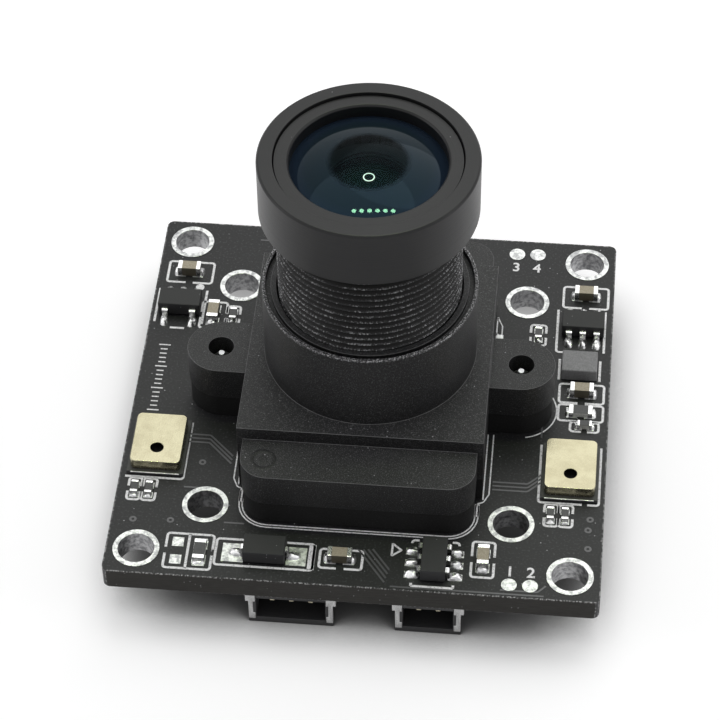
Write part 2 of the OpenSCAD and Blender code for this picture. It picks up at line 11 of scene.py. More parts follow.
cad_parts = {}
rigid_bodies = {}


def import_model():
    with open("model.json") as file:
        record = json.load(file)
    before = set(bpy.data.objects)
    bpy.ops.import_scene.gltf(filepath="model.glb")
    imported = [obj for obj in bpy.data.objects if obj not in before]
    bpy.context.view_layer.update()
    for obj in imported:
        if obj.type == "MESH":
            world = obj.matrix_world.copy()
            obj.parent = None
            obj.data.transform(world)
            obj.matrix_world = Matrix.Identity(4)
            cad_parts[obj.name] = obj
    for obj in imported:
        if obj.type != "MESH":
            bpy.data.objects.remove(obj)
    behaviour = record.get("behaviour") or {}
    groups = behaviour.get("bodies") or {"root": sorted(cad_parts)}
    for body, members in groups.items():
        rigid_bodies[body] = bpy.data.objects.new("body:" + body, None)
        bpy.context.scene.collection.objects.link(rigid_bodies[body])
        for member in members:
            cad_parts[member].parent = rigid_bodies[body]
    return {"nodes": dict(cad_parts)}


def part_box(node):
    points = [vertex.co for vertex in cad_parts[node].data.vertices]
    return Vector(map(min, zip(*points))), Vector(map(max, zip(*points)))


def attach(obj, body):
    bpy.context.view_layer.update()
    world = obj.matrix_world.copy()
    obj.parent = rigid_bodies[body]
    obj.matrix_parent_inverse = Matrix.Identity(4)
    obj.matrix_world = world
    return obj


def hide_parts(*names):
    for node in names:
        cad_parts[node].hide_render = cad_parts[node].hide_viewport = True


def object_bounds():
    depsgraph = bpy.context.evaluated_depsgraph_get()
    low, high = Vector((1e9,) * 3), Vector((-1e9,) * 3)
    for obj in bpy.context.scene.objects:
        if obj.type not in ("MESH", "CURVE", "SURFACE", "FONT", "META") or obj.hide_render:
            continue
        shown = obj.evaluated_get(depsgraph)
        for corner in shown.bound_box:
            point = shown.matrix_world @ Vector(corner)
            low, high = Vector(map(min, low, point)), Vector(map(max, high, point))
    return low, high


bl_info = {
    "name": "Board Camera Module",
    "version": (1, 0, 0),
    "blender": (4, 5, 0),
    "location": "3D View > Sidebar > Camera Module",
    "description": "Finishes a board camera module piece by piece",
    "category": "Object",
}

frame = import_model()
CAD_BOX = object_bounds()

MM = 0.001
SHARP = math.radians(38)
MERGE = 0.0005 * MM  # points closer than this become one
SINK = 0.005 * MM  # how far a printed or tinned plate sinks into the board
BOARD_BODY = "board"
GLASS_BODY = "lens_stack"
BARREL_BODY = "lens_barrel"
HEADERS = ("three_way", "two_way", "usb")
BOARD_LOW, BOARD_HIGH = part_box("circuit_board")
BOARD_TOP = BOARD_HIGH.z
HALF = BOARD_HIGH.x


# ---------------------------------------------------------------- node graphs


class Wire:
    """A node's output on which Python's arithmetic adds Math nodes."""

    def __init__(self, graph, socket):
        self.graph = graph
        self.socket = socket

    def __add__(self, other):
        return self.graph.math("ADD", self, other)

    def __sub__(self, other):
        return self.graph.math("SUBTRACT", self, other)

    def __rsub__(self, other):
        return self.graph.math("SUBTRACT", other, self)

    def __mul__(self, other):
        return self.graph.math("MULTIPLY", self, other)

    def __truediv__(self, other):
        return self.graph.math("DIVIDE", self, other)

    def __pow__(self, other):
        return self.graph.math("POWER", self, other)

    def __abs__(self):
        return self.graph.math("ABSOLUTE", self)

    __radd__ = __add__
    __rmul__ = __mul__


class Graph:
    """Adds nodes to a tree, all of them through add()."""

    def __init__(self, tree):
        self.tree = tree

    def add(self, kind, settings=None, inputs=None, output=0):
        """Adds a node with these settings and socket values, and gives back one of its outputs."""
        node = self.tree.nodes.new(kind)
        for name, value in (settings or {}).items():
            setattr(node, name, value)
        for key, value in (inputs or {}).items():
            if isinstance(value, Wire):
                self.tree.links.new(value.socket, node.inputs[key])
            else:
                node.inputs[key].default_value = value
        return Wire(self, node.outputs[output]) if len(node.outputs) else node

    def outputs(self, kind, settings=None, inputs=None):
        """Adds a node and gives back all of its outputs by name."""
        node = self.add(kind, settings, inputs).socket.node
        return {socket.name: Wire(self, socket) for socket in node.outputs}

    def split(self, vector):
        """The x, y and z of a vector."""
        return self.outputs("ShaderNodeSeparateXYZ", None, {0: vector}).values()

    def join(self, x, y, z):
        """A vector from its x, y and z."""
        return self.add("ShaderNodeCombineXYZ", None, {"X": x, "Y": y, "Z": z})

    def math(self, operation, *values):
        return self.add("ShaderNodeMath", {"operation": operation}, dict(enumerate(values)))

    def step(self, wire, low, high):
        """0 below low, 1 above high, smooth between them. A low above high turns it round."""
        return self.add(
            "ShaderNodeMapRange",
            {"interpolation_type": "SMOOTHSTEP"},
            {"Value": wire, "From Min": low, "From Max": high},
        )

    def blend(self, factor, first, second):
        """Mixes two colours."""
        first, second = (c if isinstance(c, Wire) else (*c[:3], 1) for c in (first, second))
        return self.add(
            "ShaderNodeMix", {"data_type": "RGBA"}, {0: factor, 6: first, 7: second}, output=2
        )


class Surface(Graph):
    """The graph of one material, in the object's own coordinates."""

    def __init__(self, name):
        self.material = bpy.data.materials.new(name)
        self.material.use_nodes = True
        super().__init__(self.material.node_tree)
        self.tree.nodes.clear()
        seat = self.outputs("ShaderNodeTexCoord")
        self.place = seat["Object"]
        self.x, self.y, self.z = self.split(self.place)
        _, _, self.facing = self.split(seat["Normal"])

    def radius(self):
        """Distance from the optical axis."""
        return (self.x * self.x + self.y * self.y) ** 0.5

    def noise(self, size, detail=3.0, rough=0.55, vector=None):
        """Soft noise about 0.5, with features of this size in millimetres."""
        return self.add(
            "ShaderNodeTexNoise",
            None,
            {
                "Vector": vector or self.place,
                "Scale": 1 / (size * MM),
                "Detail": detail,
                "Roughness": rough,
            },
        )

    def streaks(self, size, detail, rough, scale):
        """Noise that is drawn out along the axes with a small scale."""
        drawn = self.add("ShaderNodeMapping", None, {"Vector": self.place, "Scale": scale})
        return self.noise(size, detail, rough, drawn)

    def specks(self, spacing, size, share):
        """Small round specks: their spacing and radius in millimetres, and the share kept."""
        cells = self.outputs(
            "ShaderNodeTexVoronoi",
            {"feature": "F1"},
            {"Vector": self.place, "Scale": 1 / (spacing * MM)},
        )
        chance = self.add("ShaderNodeSeparateColor", None, {0: cells["Color"]})
        kept = self.step(chance, 1 - share, 1 - share + 0.01)
        reach = size / spacing
        return self.step(cells["Distance"], reach, reach * 0.5) * kept

    def bump(self, height, depth):
        """A normal from a height of 0 to 1 that stands for a depth in millimetres."""
        return self.add("ShaderNodeBump", None, {"Height": height, "Distance": depth * MM})

    def layer(self, **sockets):
        """A Principled shader with these sockets, and its defaults in the rest."""
        named = {}
        for name, value in sockets.items():
            plain = isinstance(value, tuple) and len(value) == 3
            named[name.replace("_", " ")] = (*value, 1) if plain else value
        return self.add("ShaderNodeBsdfPrincipled", None, named)

    def close(self, shader):
        self.add("ShaderNodeOutputMaterial", None, {"Surface": shader})
        return self.material

    def shade(self, **sockets):
        return self.close(self.layer(**sockets))


# ---------------------------------------------------------------- finishes


def settings():
    """The sizes and colours of the sidebar panel."""
    return bpy.context.scene.camera_module


def dimmed(colour, part):
    """A colour at this part of its brightness."""
    return tuple(c * part for c in colour)


def solder_mask(name):
    """Black solder mask on glass-fibre board, bare at the routed edges, with a painted speckled
    highlight along the top rim.
    """
    s = Surface(name)
    colour = settings().board.mask_colour
    cloud = s.noise(2.6, 4)
    grain = s.noise(0.16, 3, 0.65)
    highlight_speckle = s.step(grain, 0.46, 0.6)
    rim = s.math("MAXIMUM", abs(s.x), abs(s.y))
    side = s.step(rim, HALF - 0.06 * MM, HALF - 0.03 * MM)
    on_face = s.math("MAXIMUM", s.z, BOARD_TOP - s.z)
    face = s.step(on_face, BOARD_TOP - 0.02 * MM, BOARD_TOP - 0.005 * MM)
    edge = side * (1 - face)
    mask = s.blend(s.step(cloud, 0.3, 0.75), dimmed(colour, 0.75), colour)
    mask = s.blend(s.step(grain, 0.52, 0.75) * 0.5, mask, (0.1, 0.1, 0.105))
    mask = s.blend(s.specks(0.5, 0.05, 0.3) * 0.8, mask, (0.6, 0.6, 0.62))
    # Painted highlight: speckles of light grey on the mask along the board's rim.
    rim_highlight = s.step(rim, HALF - 0.12 * MM, HALF - 0.02 * MM) * highlight_speckle
    mask = s.blend(rim_highlight * 0.85, mask, (0.6, 0.6, 0.6))
    layers = s.streaks(0.22, 4, 0.7, (0.25, 0.25, 2.2))
    fibre = s.blend(layers, (0.014, 0.013, 0.012), (0.05, 0.048, 0.044))
    # Painted highlight: speckles of light grey along the top of the routed edge.
    edge_top_highlight = s.step(s.z + grain * 0.12 * MM, BOARD_TOP - 0.02 * MM, BOARD_TOP + 0.05 * MM)
    fibre = s.blend(edge_top_highlight * highlight_speckle * 0.8, fibre, (0.42, 0.41, 0.4))
    fibre = s.blend(s.specks(0.35, 0.045, 0.4) * 0.7, fibre, (0.4, 0.4, 0.4))
    return s.shade(
        Base_Color=s.blend(edge, mask, fibre),
        Roughness=0.36 + 0.16 * cloud + 0.3 * edge,
        Normal=s.bump(grain * 0.6 + cloud * 0.4, 0.012),
        Specular_IOR_Level=0.25,
    )


def tin(name):
    """Tinned copper: flat, bright and slightly crystalline."""
    s = Surface(name)
    cells = s.noise(0.3, 4, 0.6)
    pits = s.noise(0.06, 2)
    return s.shade(
        Base_Color=s.blend(s.step(cells, 0.35, 0.62), (0.26, 0.26, 0.27), (0.6, 0.6, 0.61)),
        Metallic=1.0,
        Roughness=0.28 + 0.3 * cells,
        Normal=s.bump(cells * 0.7 + pits * 0.3, 0.035),
    )


def solder(name):
    """Reflowed solder: glossy, with broad flow lines."""
    s = Surface(name)
    flow = s.noise(0.4, 3, 0.55)
    fine = s.noise(0.08, 3)
    return s.shade(
        Base_Color=s.blend(s.step(flow, 0.4, 0.6), (0.55, 0.55, 0.56), (0.9, 0.9, 0.9)),
        Metallic=1.0,
        Roughness=0.22 + 0.14 * fine,
        Normal=s.bump(flow * 0.8 + fine * 0.2, 0.04),
    )


def legend(name):
    """White printed legend with a slightly ragged edge."""
    s = Surface(name)
    grain = s.noise(0.12, 3)
    return s.shade(
        Base_Color=s.blend(s.step(grain, 0.32, 0.5), (0.55, 0.55, 0.56), (0.97, 0.97, 0.97)),
        Roughness=0.55 + 0.2 * grain,
        Normal=s.bump(grain, 0.006),
    )


def track(name):
    """Copper track under the mask."""
    s = Surface(name)
    cloud = s.noise(1.2, 3)
    return s.shade(
        Base_Color=s.blend(cloud, (0.07, 0.07, 0.073), (0.12, 0.12, 0.125)),
        Roughness=0.3 + 0.15 * cloud,
        Normal=s.bump(cloud, 0.004),
    )


def holder_plastic(name):
    """Moulded black holder: fine grain and dust, painted shade on its walls and foot, painted light
    on its top faces and rounded edges, painted glints on the lip round its mouth.
    """
    s = Surface(name)
    colour = settings().holder.plastic_colour
    grain = s.noise(0.07, 2, 0.6)
    spark = s.noise(0.11, 3, 0.75)
    cloud = s.noise(1.8, 4, 0.6)
    base = s.blend(s.step(cloud, 0.3, 0.7), dimmed(colour, 0.8), colour)
    base = s.blend(s.step(grain, 0.52, 0.68) * 0.9, base, (0.13, 0.13, 0.133))
    upward = s.step(s.facing, 0.5, 0.9)
    # Painted shade on the faces that look sideways or down.
    base = s.blend(0.45 - 0.45 * upward, base, (0.002, 0.002, 0.002))
    # Painted light on the faces that look up.
    base = s.blend(upward * 0.16, base, (0.08, 0.08, 0.083))
    # Painted highlight along the rounded edges.
    edge_highlight = s.step(s.facing, 0.3, 0.5) * s.step(s.facing, 0.97, 0.85)
    base = s.blend(edge_highlight * (0.3 + 0.6 * cloud), base, (0.26, 0.26, 0.265))
    dust = s.specks(0.6, 0.055, 0.34) * 0.8 + s.specks(0.24, 0.035, 0.34) * 0.5
    base = s.blend(dust * (0.25 + 0.75 * upward), base, (0.5, 0.5, 0.52))
    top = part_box("lens_holder")[1].z
    lip = s.step(s.z, top - 0.22 * MM, top - 0.05 * MM) * s.step(s.radius(), 6.3 * MM, 6.8 * MM)
    # Painted glints: near-white specks on the lip round the mouth.
    lip_glints = s.step(spark, 0.53, 0.6) * lip
    base = s.blend(lip_glints * 0.9, base, (0.75, 0.75, 0.77))
    mark = mould_mark(s)
    base = s.blend(mark * 0.7, base, (0.004, 0.004, 0.004))
    parting = BOARD_TOP + 1.9 * MM
    # Painted shade on the foot below the parting line, which is also rougher.
    lower = s.step(s.z, parting + 0.06 * MM, parting - 0.02 * MM)
    base = s.blend(lower * 0.75, base, (0.003, 0.003, 0.003))
    return s.shade(
        Base_Color=base,
        Roughness=0.4 + 0.2 * grain - 0.15 * lip_glints + 0.2 * lower,
        Specular_IOR_Level=0.22,
        Normal=s.bump(grain * 0.5 + cloud * 0.3 + mark + spark * lip * 1.5, 0.03),
    )


def mould_mark(s):
    """A shallow round gate mark on the front ledge's left end."""
    size = 0.78 * MM
    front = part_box("lens_holder")[0].y
    across = (s.x + 6.1 * MM) / size
    along = (s.y - (front + 1.55 * MM)) / size
    far = (across * across + along * along) ** 0.5
    ring = s.step(far, 0.72, 0.86) * s.step(far, 1.14, 1.0)
    dot = s.step(far, 0.5, 0.3) * 0.6
    on_ledge = s.step(s.z, BOARD_TOP + 4.3 * MM, BOARD_TOP + 4.45 * MM)
    return (ring + dot) * on_ledge * 0.8


def anodised(name):
    """Black anodised metal with fine turning marks."""
    s = Surface(name)
    colour = settings().lens.barrel_colour
    turning = s.noise(0.09, 3, 0.6, s.join(s.radius(), 0, s.z))
    cloud = s.noise(2.2, 3)
    base = s.blend(cloud, dimmed(colour, 0.75), colour)
    return s.shade(
        Base_Color=s.blend(s.specks(0.7, 0.045, 0.14) * 0.6, base, (0.3, 0.3, 0.32)),
        Metallic=0.1 + 0.2 * cloud,
        Roughness=0.32 + 0.14 * turning,
        Specular_IOR_Level=0.3,
        Normal=s.bump(turning, 0.01),
    )


def thread_finish(name):
    """The cut thread, with painted shade in its roots, a painted highlight on its crests and painted
    glints along them.
    """
    s = Surface(name)
    grain = s.noise(0.1, 4, 0.75)
    wide = s.noise(1.6, 3)
    crest_radius = settings().lens.thread_diameter / 2
    crest = s.step(s.radius(), crest_radius - 0.16 * MM, crest_radius - 0.02 * MM)
    # Painted glints: near-white spots along the crests.
    crest_glint = crest * s.step(grain + wide * 0.25, 0.675, 0.72)
    # Painted shade in the roots and a painted highlight on the crests.
    base = s.blend(crest, (0.002, 0.002, 0.002), (0.04, 0.04, 0.042))
    return s.shade(
        Base_Color=s.blend(crest_glint * 0.9, base, (0.8, 0.8, 0.82)),
        Metallic=0.2 * crest,
        Roughness=0.22 + 0.2 * grain,
        Specular_IOR_Level=0.18,
        Normal=s.bump(grain, 0.03),
    )


def coated_glass(name):
    """The coated front glass: clear in the middle, closed towards its rim by opaque teal, a real
    tinted reflection over a painted one.
    """
    s = Surface(name)
    smear = s.noise(1.5, 3)
    radius = s.radius()
    # Painted reflection: the teal base colour grows brighter towards the rim.
    rim = s.step(radius, 3.7 * MM, 4.7 * MM)
    clear = s.layer(
        Base_Color=s.blend(smear, (0.13, 0.24, 0.23), (0.16, 0.27, 0.28)),
        Transmission_Weight=1.0,
        IOR=1.12,
        Specular_Tint=(0.4, 0.8, 1),
        Roughness=0.002 + 0.004 * smear,
    )
    # Opaque teal layer: a real tinted reflection over a base colour that paints the coating's
    # reflection.
    painted_sheen = s.layer(
        Base_Color=s.blend(rim, (0.009, 0.017, 0.023), (0.012, 0.021, 0.036)),
        Specular_IOR_Level=0.15,
        Specular_Tint=(0.35, 0.65, 0.9),
        Roughness=0.015 + 0.01 * smear,
    )
    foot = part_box("front_glass")[0].z
    on_dome = s.step(s.z, foot + 1.2 * MM, foot + 1.6 * MM)
    closed = (s.step(radius, 2.2 * MM, 2.75 * MM) * 0.94 + 0.03) * on_dome
    return s.close(s.add("ShaderNodeMixShader", None, {0: closed, 1: clear, 2: painted_sheen}))


def inner_glass(name):
    """Deep, dark glass behind the front one, with a painted reflection of a pale ring in its middle
    that glows.
    """
    s = Surface(name)
    smear = s.noise(1.6, 2)
    radius = s.radius() / MM
    # Painted reflection: a pale ring in base colour and emission.
    ring = s.step(radius, 0.28, 0.31) * s.step(radius, 0.38, 0.35)
    base = s.blend(s.step(radius, 0.4, 2.2), (0.004, 0.018, 0.01), (0.002, 0.008, 0.006))
    return s.shade(
        Base_Color=s.blend(ring, base, (0.95, 1.0, 0.85)),
        Roughness=0.05 + 0.03 * smear,
        Specular_Tint=(0.25, 0.5, 0.9),
        Specular_IOR_Level=0.03,
        Emission_Color=s.blend(ring, (0.0, 0.0, 0.0), (1.0, 0.72, 0.64)),
        Emission_Strength=3.6,
    )


def spacer_black(name):
    """Matte black inside the barrel."""
    s = Surface(name)
    grain = s.noise(0.1, 3)
    return s.shade(
        Base_Color=s.blend(grain, (0.002, 0.004, 0.005), (0.004, 0.008, 0.01)),
        Roughness=0.5 + 0.2 * grain,
        Specular_IOR_Level=0.1,
        Normal=s.bump(grain, 0.01),
    )


def lid_gold(name):
    """Pale gold plating on the microphone lids, with fine drawing marks."""
    s = Surface(name)
    brushed = s.streaks(0.1, 4, 0.6, (1.0, 0.35, 1.0))
    cloud = s.noise(1.1, 3)
    tone = s.blend(s.step(cloud, 0.3, 0.7), (0.32, 0.295, 0.2), (0.38, 0.355, 0.245))
    return s.shade(
        Base_Color=s.blend(s.specks(0.4, 0.04, 0.15) * 0.5, tone, (0.4, 0.3, 0.15)),
        Metallic=1.0,
        Roughness=0.2 + 0.12 * brushed,
        Normal=s.bump(brushed, 0.006),
    )


def chip_mould(name):
    """Black chip moulding: fine grain, with a few pale flecks."""
    s = Surface(name)
    grain = s.noise(0.06, 3, 0.65)
    base = s.blend(grain, (0.01, 0.01, 0.011), (0.026, 0.026, 0.028))
    return s.shade(
        Base_Color=s.blend(s.specks(0.3, 0.035, 0.3) * 0.8, base, (0.4, 0.4, 0.42)),
        Specular_IOR_Level=0.35,
        Roughness=0.55 + 0.15 * grain,
        Normal=s.bump(grain, 0.012),
    )


def header_moulding(name):
    """Black header housings: smoother than the chips."""
    s = Surface(name)
    grain = s.noise(0.12, 3, 0.6)
    return s.shade(
        Base_Color=s.blend(grain, (0.016, 0.016, 0.017), (0.034, 0.034, 0.036)),
        Roughness=0.42 + 0.15 * grain,
        Normal=s.bump(grain, 0.008),
    )


def ceramic(name, dark, light, rough, side=1.0):
    """Fired ceramic in two close tones; side says how much of them the sides keep, a painted shade.
    """
    s = Surface(name)
    grain = s.noise(0.08, 4, 0.6)
    tone = s.blend(s.step(grain, 0.3, 0.7), dark, light)
    if side < 1:
        # Painted shade on the faces that look sideways.
        tone = s.blend(s.step(abs(s.facing), 0.4, 0.8), dimmed(dark, side), tone)
    return s.shade(
        Base_Color=tone,
        Roughness=rough + 0.15 * grain,
        Normal=s.bump(grain, 0.01),
    )


def plated(name, colour, rough, side=1.0):
    """Plain plated metal with a little grain; side says how much of its tone the sides keep, a
    painted shade.
    """
    s = Surface(name)
    grain = s.noise(0.1, 4, 0.6)
    tone = s.blend(s.step(grain, 0.3, 0.7), dimmed(colour, 0.72), colour)
    if side < 1:
        # Painted shade on the faces that look sideways.
        tone = s.blend(s.step(abs(s.facing), 0.3, 0.75), dimmed(colour, side), tone)
    return s.shade(
        Base_Color=tone,
        Metallic=1.0,
        Roughness=rough + 0.15 * grain,
        Normal=s.bump(grain, 0.01),
    )


def clear_glass(name, tint, index=1.5):
    """Thin clear glass in one tint; a low index stands for a coating that stops reflections."""
    s = Surface(name)
    smear = s.noise(1.0, 3)
    return s.shade(
        Base_Color=s.blend(smear, tint, dimmed(tint, 0.9)),
        Transmission_Weight=1.0,
        IOR=index,
        Roughness=0.002 + 0.004 * smear,
    )


def silicon(name):
    """The sensor's die: dark blue with a fine grid of cells."""
    s = Surface(name)
    grid = s.outputs("ShaderNodeTexChecker", None, {"Vector": s.place, "Scale": 12000.0})["Fac"]
    return s.shade(
        Base_Color=s.blend(grid, (0.02, 0.03, 0.07), (0.05, 0.06, 0.12)),
        Metallic=0.3,
        Roughness=0.2 + 0.05 * grid,
    )


# Each finish: the function that makes it, and that function's values after the name.
FINISHES = {
    "solder_mask": [solder_mask],
    "tin": [tin],
    "solder": [solder],
    "legend": [legend],
    "track": [track],
    "holder_plastic": [holder_plastic],
    "anodised": [anodised],
    "thread_finish": [thread_finish],
    "coated_glass": [coated_glass],
    "inner_glass": [inner_glass],
    "spacer_black": [spacer_black],
    "lid_gold": [lid_gold],
    "chip_mould": [chip_mould],
    "header_moulding": [header_moulding],
    "silicon": [silicon],
    # Its last value is the share of tone its sides keep, a painted shade.
    "capacitor_body": [ceramic, (0.3, 0.26, 0.18), (0.44, 0.39, 0.29), 0.4, 0.25],
    "resistor_base": [ceramic, (0.42, 0.42, 0.4), (0.62, 0.62, 0.6), 0.5],
    "resistor_glaze": [ceramic, (0.01, 0.01, 0.011), (0.03, 0.03, 0.032), 0.3],
    "ferrite": [ceramic, (0.16, 0.16, 0.165), (0.27, 0.27, 0.275), 0.55],
    "package_ceramic": [ceramic, (0.14, 0.12, 0.1), (0.22, 0.2, 0.17), 0.5],
    "laminate": [ceramic, (0.012, 0.012, 0.012), (0.04, 0.04, 0.04), 0.5],
    "edge_paint": [ceramic, (0.04, 0.043, 0.048), (0.058, 0.062, 0.068), 0.7],
    # Its last value is the share of tone its sides keep, a painted shade.
    "end_metal": [plated, (0.9, 0.9, 0.9), 0.2, 0.35],
    "clip_metal": [plated, (0.62, 0.62, 0.62), 0.4],
    "contact_metal": [plated, (0.8, 0.74, 0.56), 0.25],
    "screw_steel": [plated, (0.5, 0.5, 0.52), 0.3],
    "can_metal": [plated, (0.75, 0.72, 0.64), 0.3],
    "cover_glass": [clear_glass, (0.9, 0.95, 0.95)],
    "filter_glass": [clear_glass, (0.6, 0.85, 0.9)],
    "hollow_coating": [clear_glass, (0.55, 0.8, 0.75), 1.04],
}


def finish(name):
    """The material of that name, made on first use."""
    made = bpy.data.materials.get(name)
    if made is None:
        make, *values = FINISHES[name]
        made = make(name, *values)
    return made


# ---------------------------------------------------------------- making meshes


def place_piece(name, source, body, finishes, replaces=()):
    """Makes a piece from a bmesh or mesh, dresses it and lets it ride on its body."""
    if isinstance(source, bmesh.types.BMesh):
        mesh = bpy.data.meshes.new(name)
        source.to_mesh(mesh)
        source.free()
    else:
        mesh = source
        mesh.name = name
        mesh.materials.clear()
    for item in finishes:
        mesh.materials.append(finish(item))
    mesh.polygons.foreach_set("use_smooth", [True] * len(mesh.polygons))
    mesh.set_sharp_from_angle(angle=SHARP)
    keep_flats(mesh)
    piece = bpy.data.objects.new(name, mesh)
    bpy.context.scene.collection.objects.link(piece)
    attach(piece, body)
    if replaces:
        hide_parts(*replaces)


def keep_flats(mesh):
    """Weighs the normals by area, so that a flat face stays flat beside a rounded edge."""
    sums = [Vector((0, 0, 0)) for _ in mesh.vertices]
    for face in mesh.polygons:
        for corner in face.vertices:
            sums[corner] += face.normal * face.area
    creased = {corner for edge in mesh.edges if edge.use_edge_sharp for corner in edge.vertices}
    normals = [normal.vector.copy() for normal in mesh.corner_normals]
    for k, corner in enumerate(mesh.loops):
        if corner.vertex_index not in creased:
            normals[k] = sums[corner.vertex_index].normalized()
    mesh.normals_split_custom_set(normals)


def dress(node, name):
    """Gives a CAD node its finish."""
    piece = frame["nodes"][node]
    if not piece.material_slots:
        piece.data.materials.append(None)
    for slot in piece.material_slots:
        slot.material = finish(name)


def shell_of(node):
    """A merged copy of a CAD node's mesh."""
    shell = bmesh.new()
    shell.from_mesh(frame["nodes"][node].data)
    bmesh.ops.remove_doubles(shell, verts=shell.verts, dist=MERGE)
    bmesh.ops.dissolve_limit(
        shell, angle_limit=math.radians(1), verts=shell.verts, edges=shell.edges
    )
    return shell


def softened_copy(node, finish_name, width, steps=2):
    """Stands in for a CAD node with the same shape and rounded edges; width in millimetres."""
    shell = shell_of(node)
    edges = [
        edge
        for edge in shell.edges
        if len(edge.link_faces) == 2 and edge.calc_face_angle(0) > SHARP
    ]
    bmesh.ops.bevel(
        shell,
        geom=edges,
        offset=width * MM,
        segments=steps,
        profile=0.5,
        affect="EDGES",
        clamp_overlap=True,
    )
    place_piece(f"{node}_rounded", shell, BOARD_BODY, [finish_name], [node])


def bend(start, corner, end, t):
    """The point at t, from 0 to 1, on a smooth bend that rounds a corner."""
    return start.lerp(corner, t).lerp(corner.lerp(end, t), t)


def rounded_profile(points, radius):
    """The corners of a closed outline rounded with arcs. Points are (r, z) or (r, z, radius)."""
    made = []
    count = len(points)
    for i, point in enumerate(points):
        here = Vector(point[:2])
        before = Vector(points[i - 1][:2]) - here
        after = Vector(points[(i + 1) % count][:2]) - here
        reach = point[2] if len(point) > 2 else radius
        reach = min(reach, before.length * 0.45, after.length * 0.45)
        if reach < 0.002 * MM:
            made.append(tuple(here))
            continue
        start = here + before.normalized() * reach
        end = here + after.normalized() * reach
        made += [tuple(bend(start, here, end, t)) for t in (0, 0.25, 0.5, 0.75, 1)]
    return made


def circle(turns):
    """Cosine and sine of evenly spread angles, once round."""
    angles = [2 * math.pi * k / turns for k in range(turns)]
    return [(math.cos(angle), math.sin(angle)) for angle in angles]


def lathe(outline, turns, centre=(0, 0)):
    """A closed shell of revolution about +Z from a closed outline of (r, z) points."""
    shell = bmesh.new()
    rings = [
        [shell.verts.new((centre[0] + r * c, centre[1] + r * s, z)) for r, z in outline]
        for c, s in circle(turns)
    ]
    count = len(outline)
    for here, there in zip(rings, rings[1:] + rings[:1]):
        for i in range(count):
            j = (i + 1) % count
            on_axis = outline[i][0] < 1e-9 and outline[j][0] < 1e-9
            if not on_axis:
                shell.faces.new((here[i], there[i], there[j], here[j]))
    bmesh.ops.remove_doubles(shell, verts=shell.verts, dist=MERGE)
    bmesh.ops.recalc_face_normals(shell, faces=shell.faces)
    return shell


def add_box(shell, centre, size, bevel, material=0):
    """Adds a box with rounded edges that stands on centre.z."""
    made = bmesh.ops.create_cube(shell, size=1)
    lift = Vector((centre[0], centre[1], centre[2] + size[2] / 2))
    matrix = Matrix.Translation(lift) @ Matrix.Diagonal((*size, 1))
    bmesh.ops.transform(shell, matrix=matrix, verts=made["verts"])
    faces = list({face for vert in made["verts"] for face in vert.link_faces})
    edges = list({edge for face in faces for edge in face.edges})
    for face in faces:
        face.material_index = material
    made = bmesh.ops.bevel(
        shell, geom=edges, offset=bevel, segments=3, profile=0.5, affect="EDGES"
    )
    for face in made["faces"]:
        face.material_index = material


def add_mound(shell, centre, size, height, seed, down):
    """Adds a closed lump of solder over a rectangle."""
    random.seed(seed)
    offset = Vector((random.random(), random.random(), 0)) * 40
    side = -1 if down else 1
    steps = 9
    grid = []
    for i in range(steps + 1):
        row = []
        for j in range(steps + 1):
            u, v = 2 * i / steps - 1, 2 * j / steps - 1
            x = u * math.sqrt(1 - v * v * 0.35) * size[0] / 2
            y = v * math.sqrt(1 - u * u * 0.35) * size[1] / 2
            body = (1 - u * u) * (1 - v * v)
            lump = 1 + 0.35 * noise.noise(Vector((u * 1.4, v * 1.4, 0)) + offset)
            z = centre[2] + side * height * body**0.55 * lump
            row.append(shell.verts.new((centre[0] + x, centre[1] + y, z)))
        grid.append(row)
    border = [grid[i][0] for i in range(steps + 1)]
    border += [grid[steps][j] for j in range(1, steps + 1)]
    border += [grid[i][steps] for i in range(steps - 1, -1, -1)]
    border += [grid[0][j] for j in range(steps - 1, 0, -1)]
    for i in range(steps):
        for j in range(steps):
            corners = (grid[i][j], grid[i + 1][j], grid[i + 1][j + 1], grid[i][j + 1])
            shell.faces.new(corners[::-1] if down else corners)
    shell.faces.new(border if down else border[::-1])


def add_disc(shell, centre, radius, height, hole=0.0, turns=32):
    """Adds a flat disc or ring that stands on centre.z."""
    ring = circle(turns)

    def layer(r, z):
        return [shell.verts.new((centre[0] + r * c, centre[1] + r * s, z)) for c, s in ring]

    layers = [
        layer(r, z) if r else None
        for z in (centre[2], centre[2] + height)
        for r in (radius, hole)
    ]
    low_out, low_in, high_out, high_in = layers
    for k in range(turns):
        n = (k + 1) % turns
        shell.faces.new((low_out[k], low_out[n], high_out[n], high_out[k]))
        if hole:
            shell.faces.new((low_in[n], low_in[k], high_in[k], high_in[n]))
            shell.faces.new((high_out[k], high_out[n], high_in[n], high_in[k]))
            shell.faces.new((low_out[n], low_out[k], low_in[k], low_in[n]))
    if not hole:
        shell.faces.new(high_out)
        shell.faces.new(low_out[::-1])


def islands(node):
    """The (low, high) corners of each separate solid in a CAD node."""
    shell = shell_of(node)
    boxes, seen = [], set()
    for start in shell.verts:
        if start in seen:
            continue
        stack, found = [start], []
        seen.add(start)
        while stack:
            vert = stack.pop()
            found.append(vert.co.copy())
            for edge in vert.link_edges:
                other = edge.other_vert(vert)
                if other not in seen:
                    seen.add(other)
                    stack.append(other)
        low = Vector(min(p[k] for p in found) for k in range(3))
        high = Vector(max(p[k] for p in found) for k in range(3))
        boxes.append((low, high))
    shell.free()
    return sorted(boxes, key=lambda box: tuple(box[0]))


def lie_of(low, high):
    """How a long part lies: its size, its middle, its long axis and whether it hangs."""
    size = high - low
    along = 0 if size.x > size.y else 1
    return size, (low + high) / 2, along, high.z < BOARD_TOP / 2


# ---------------------------------------------------------------- geometry trees


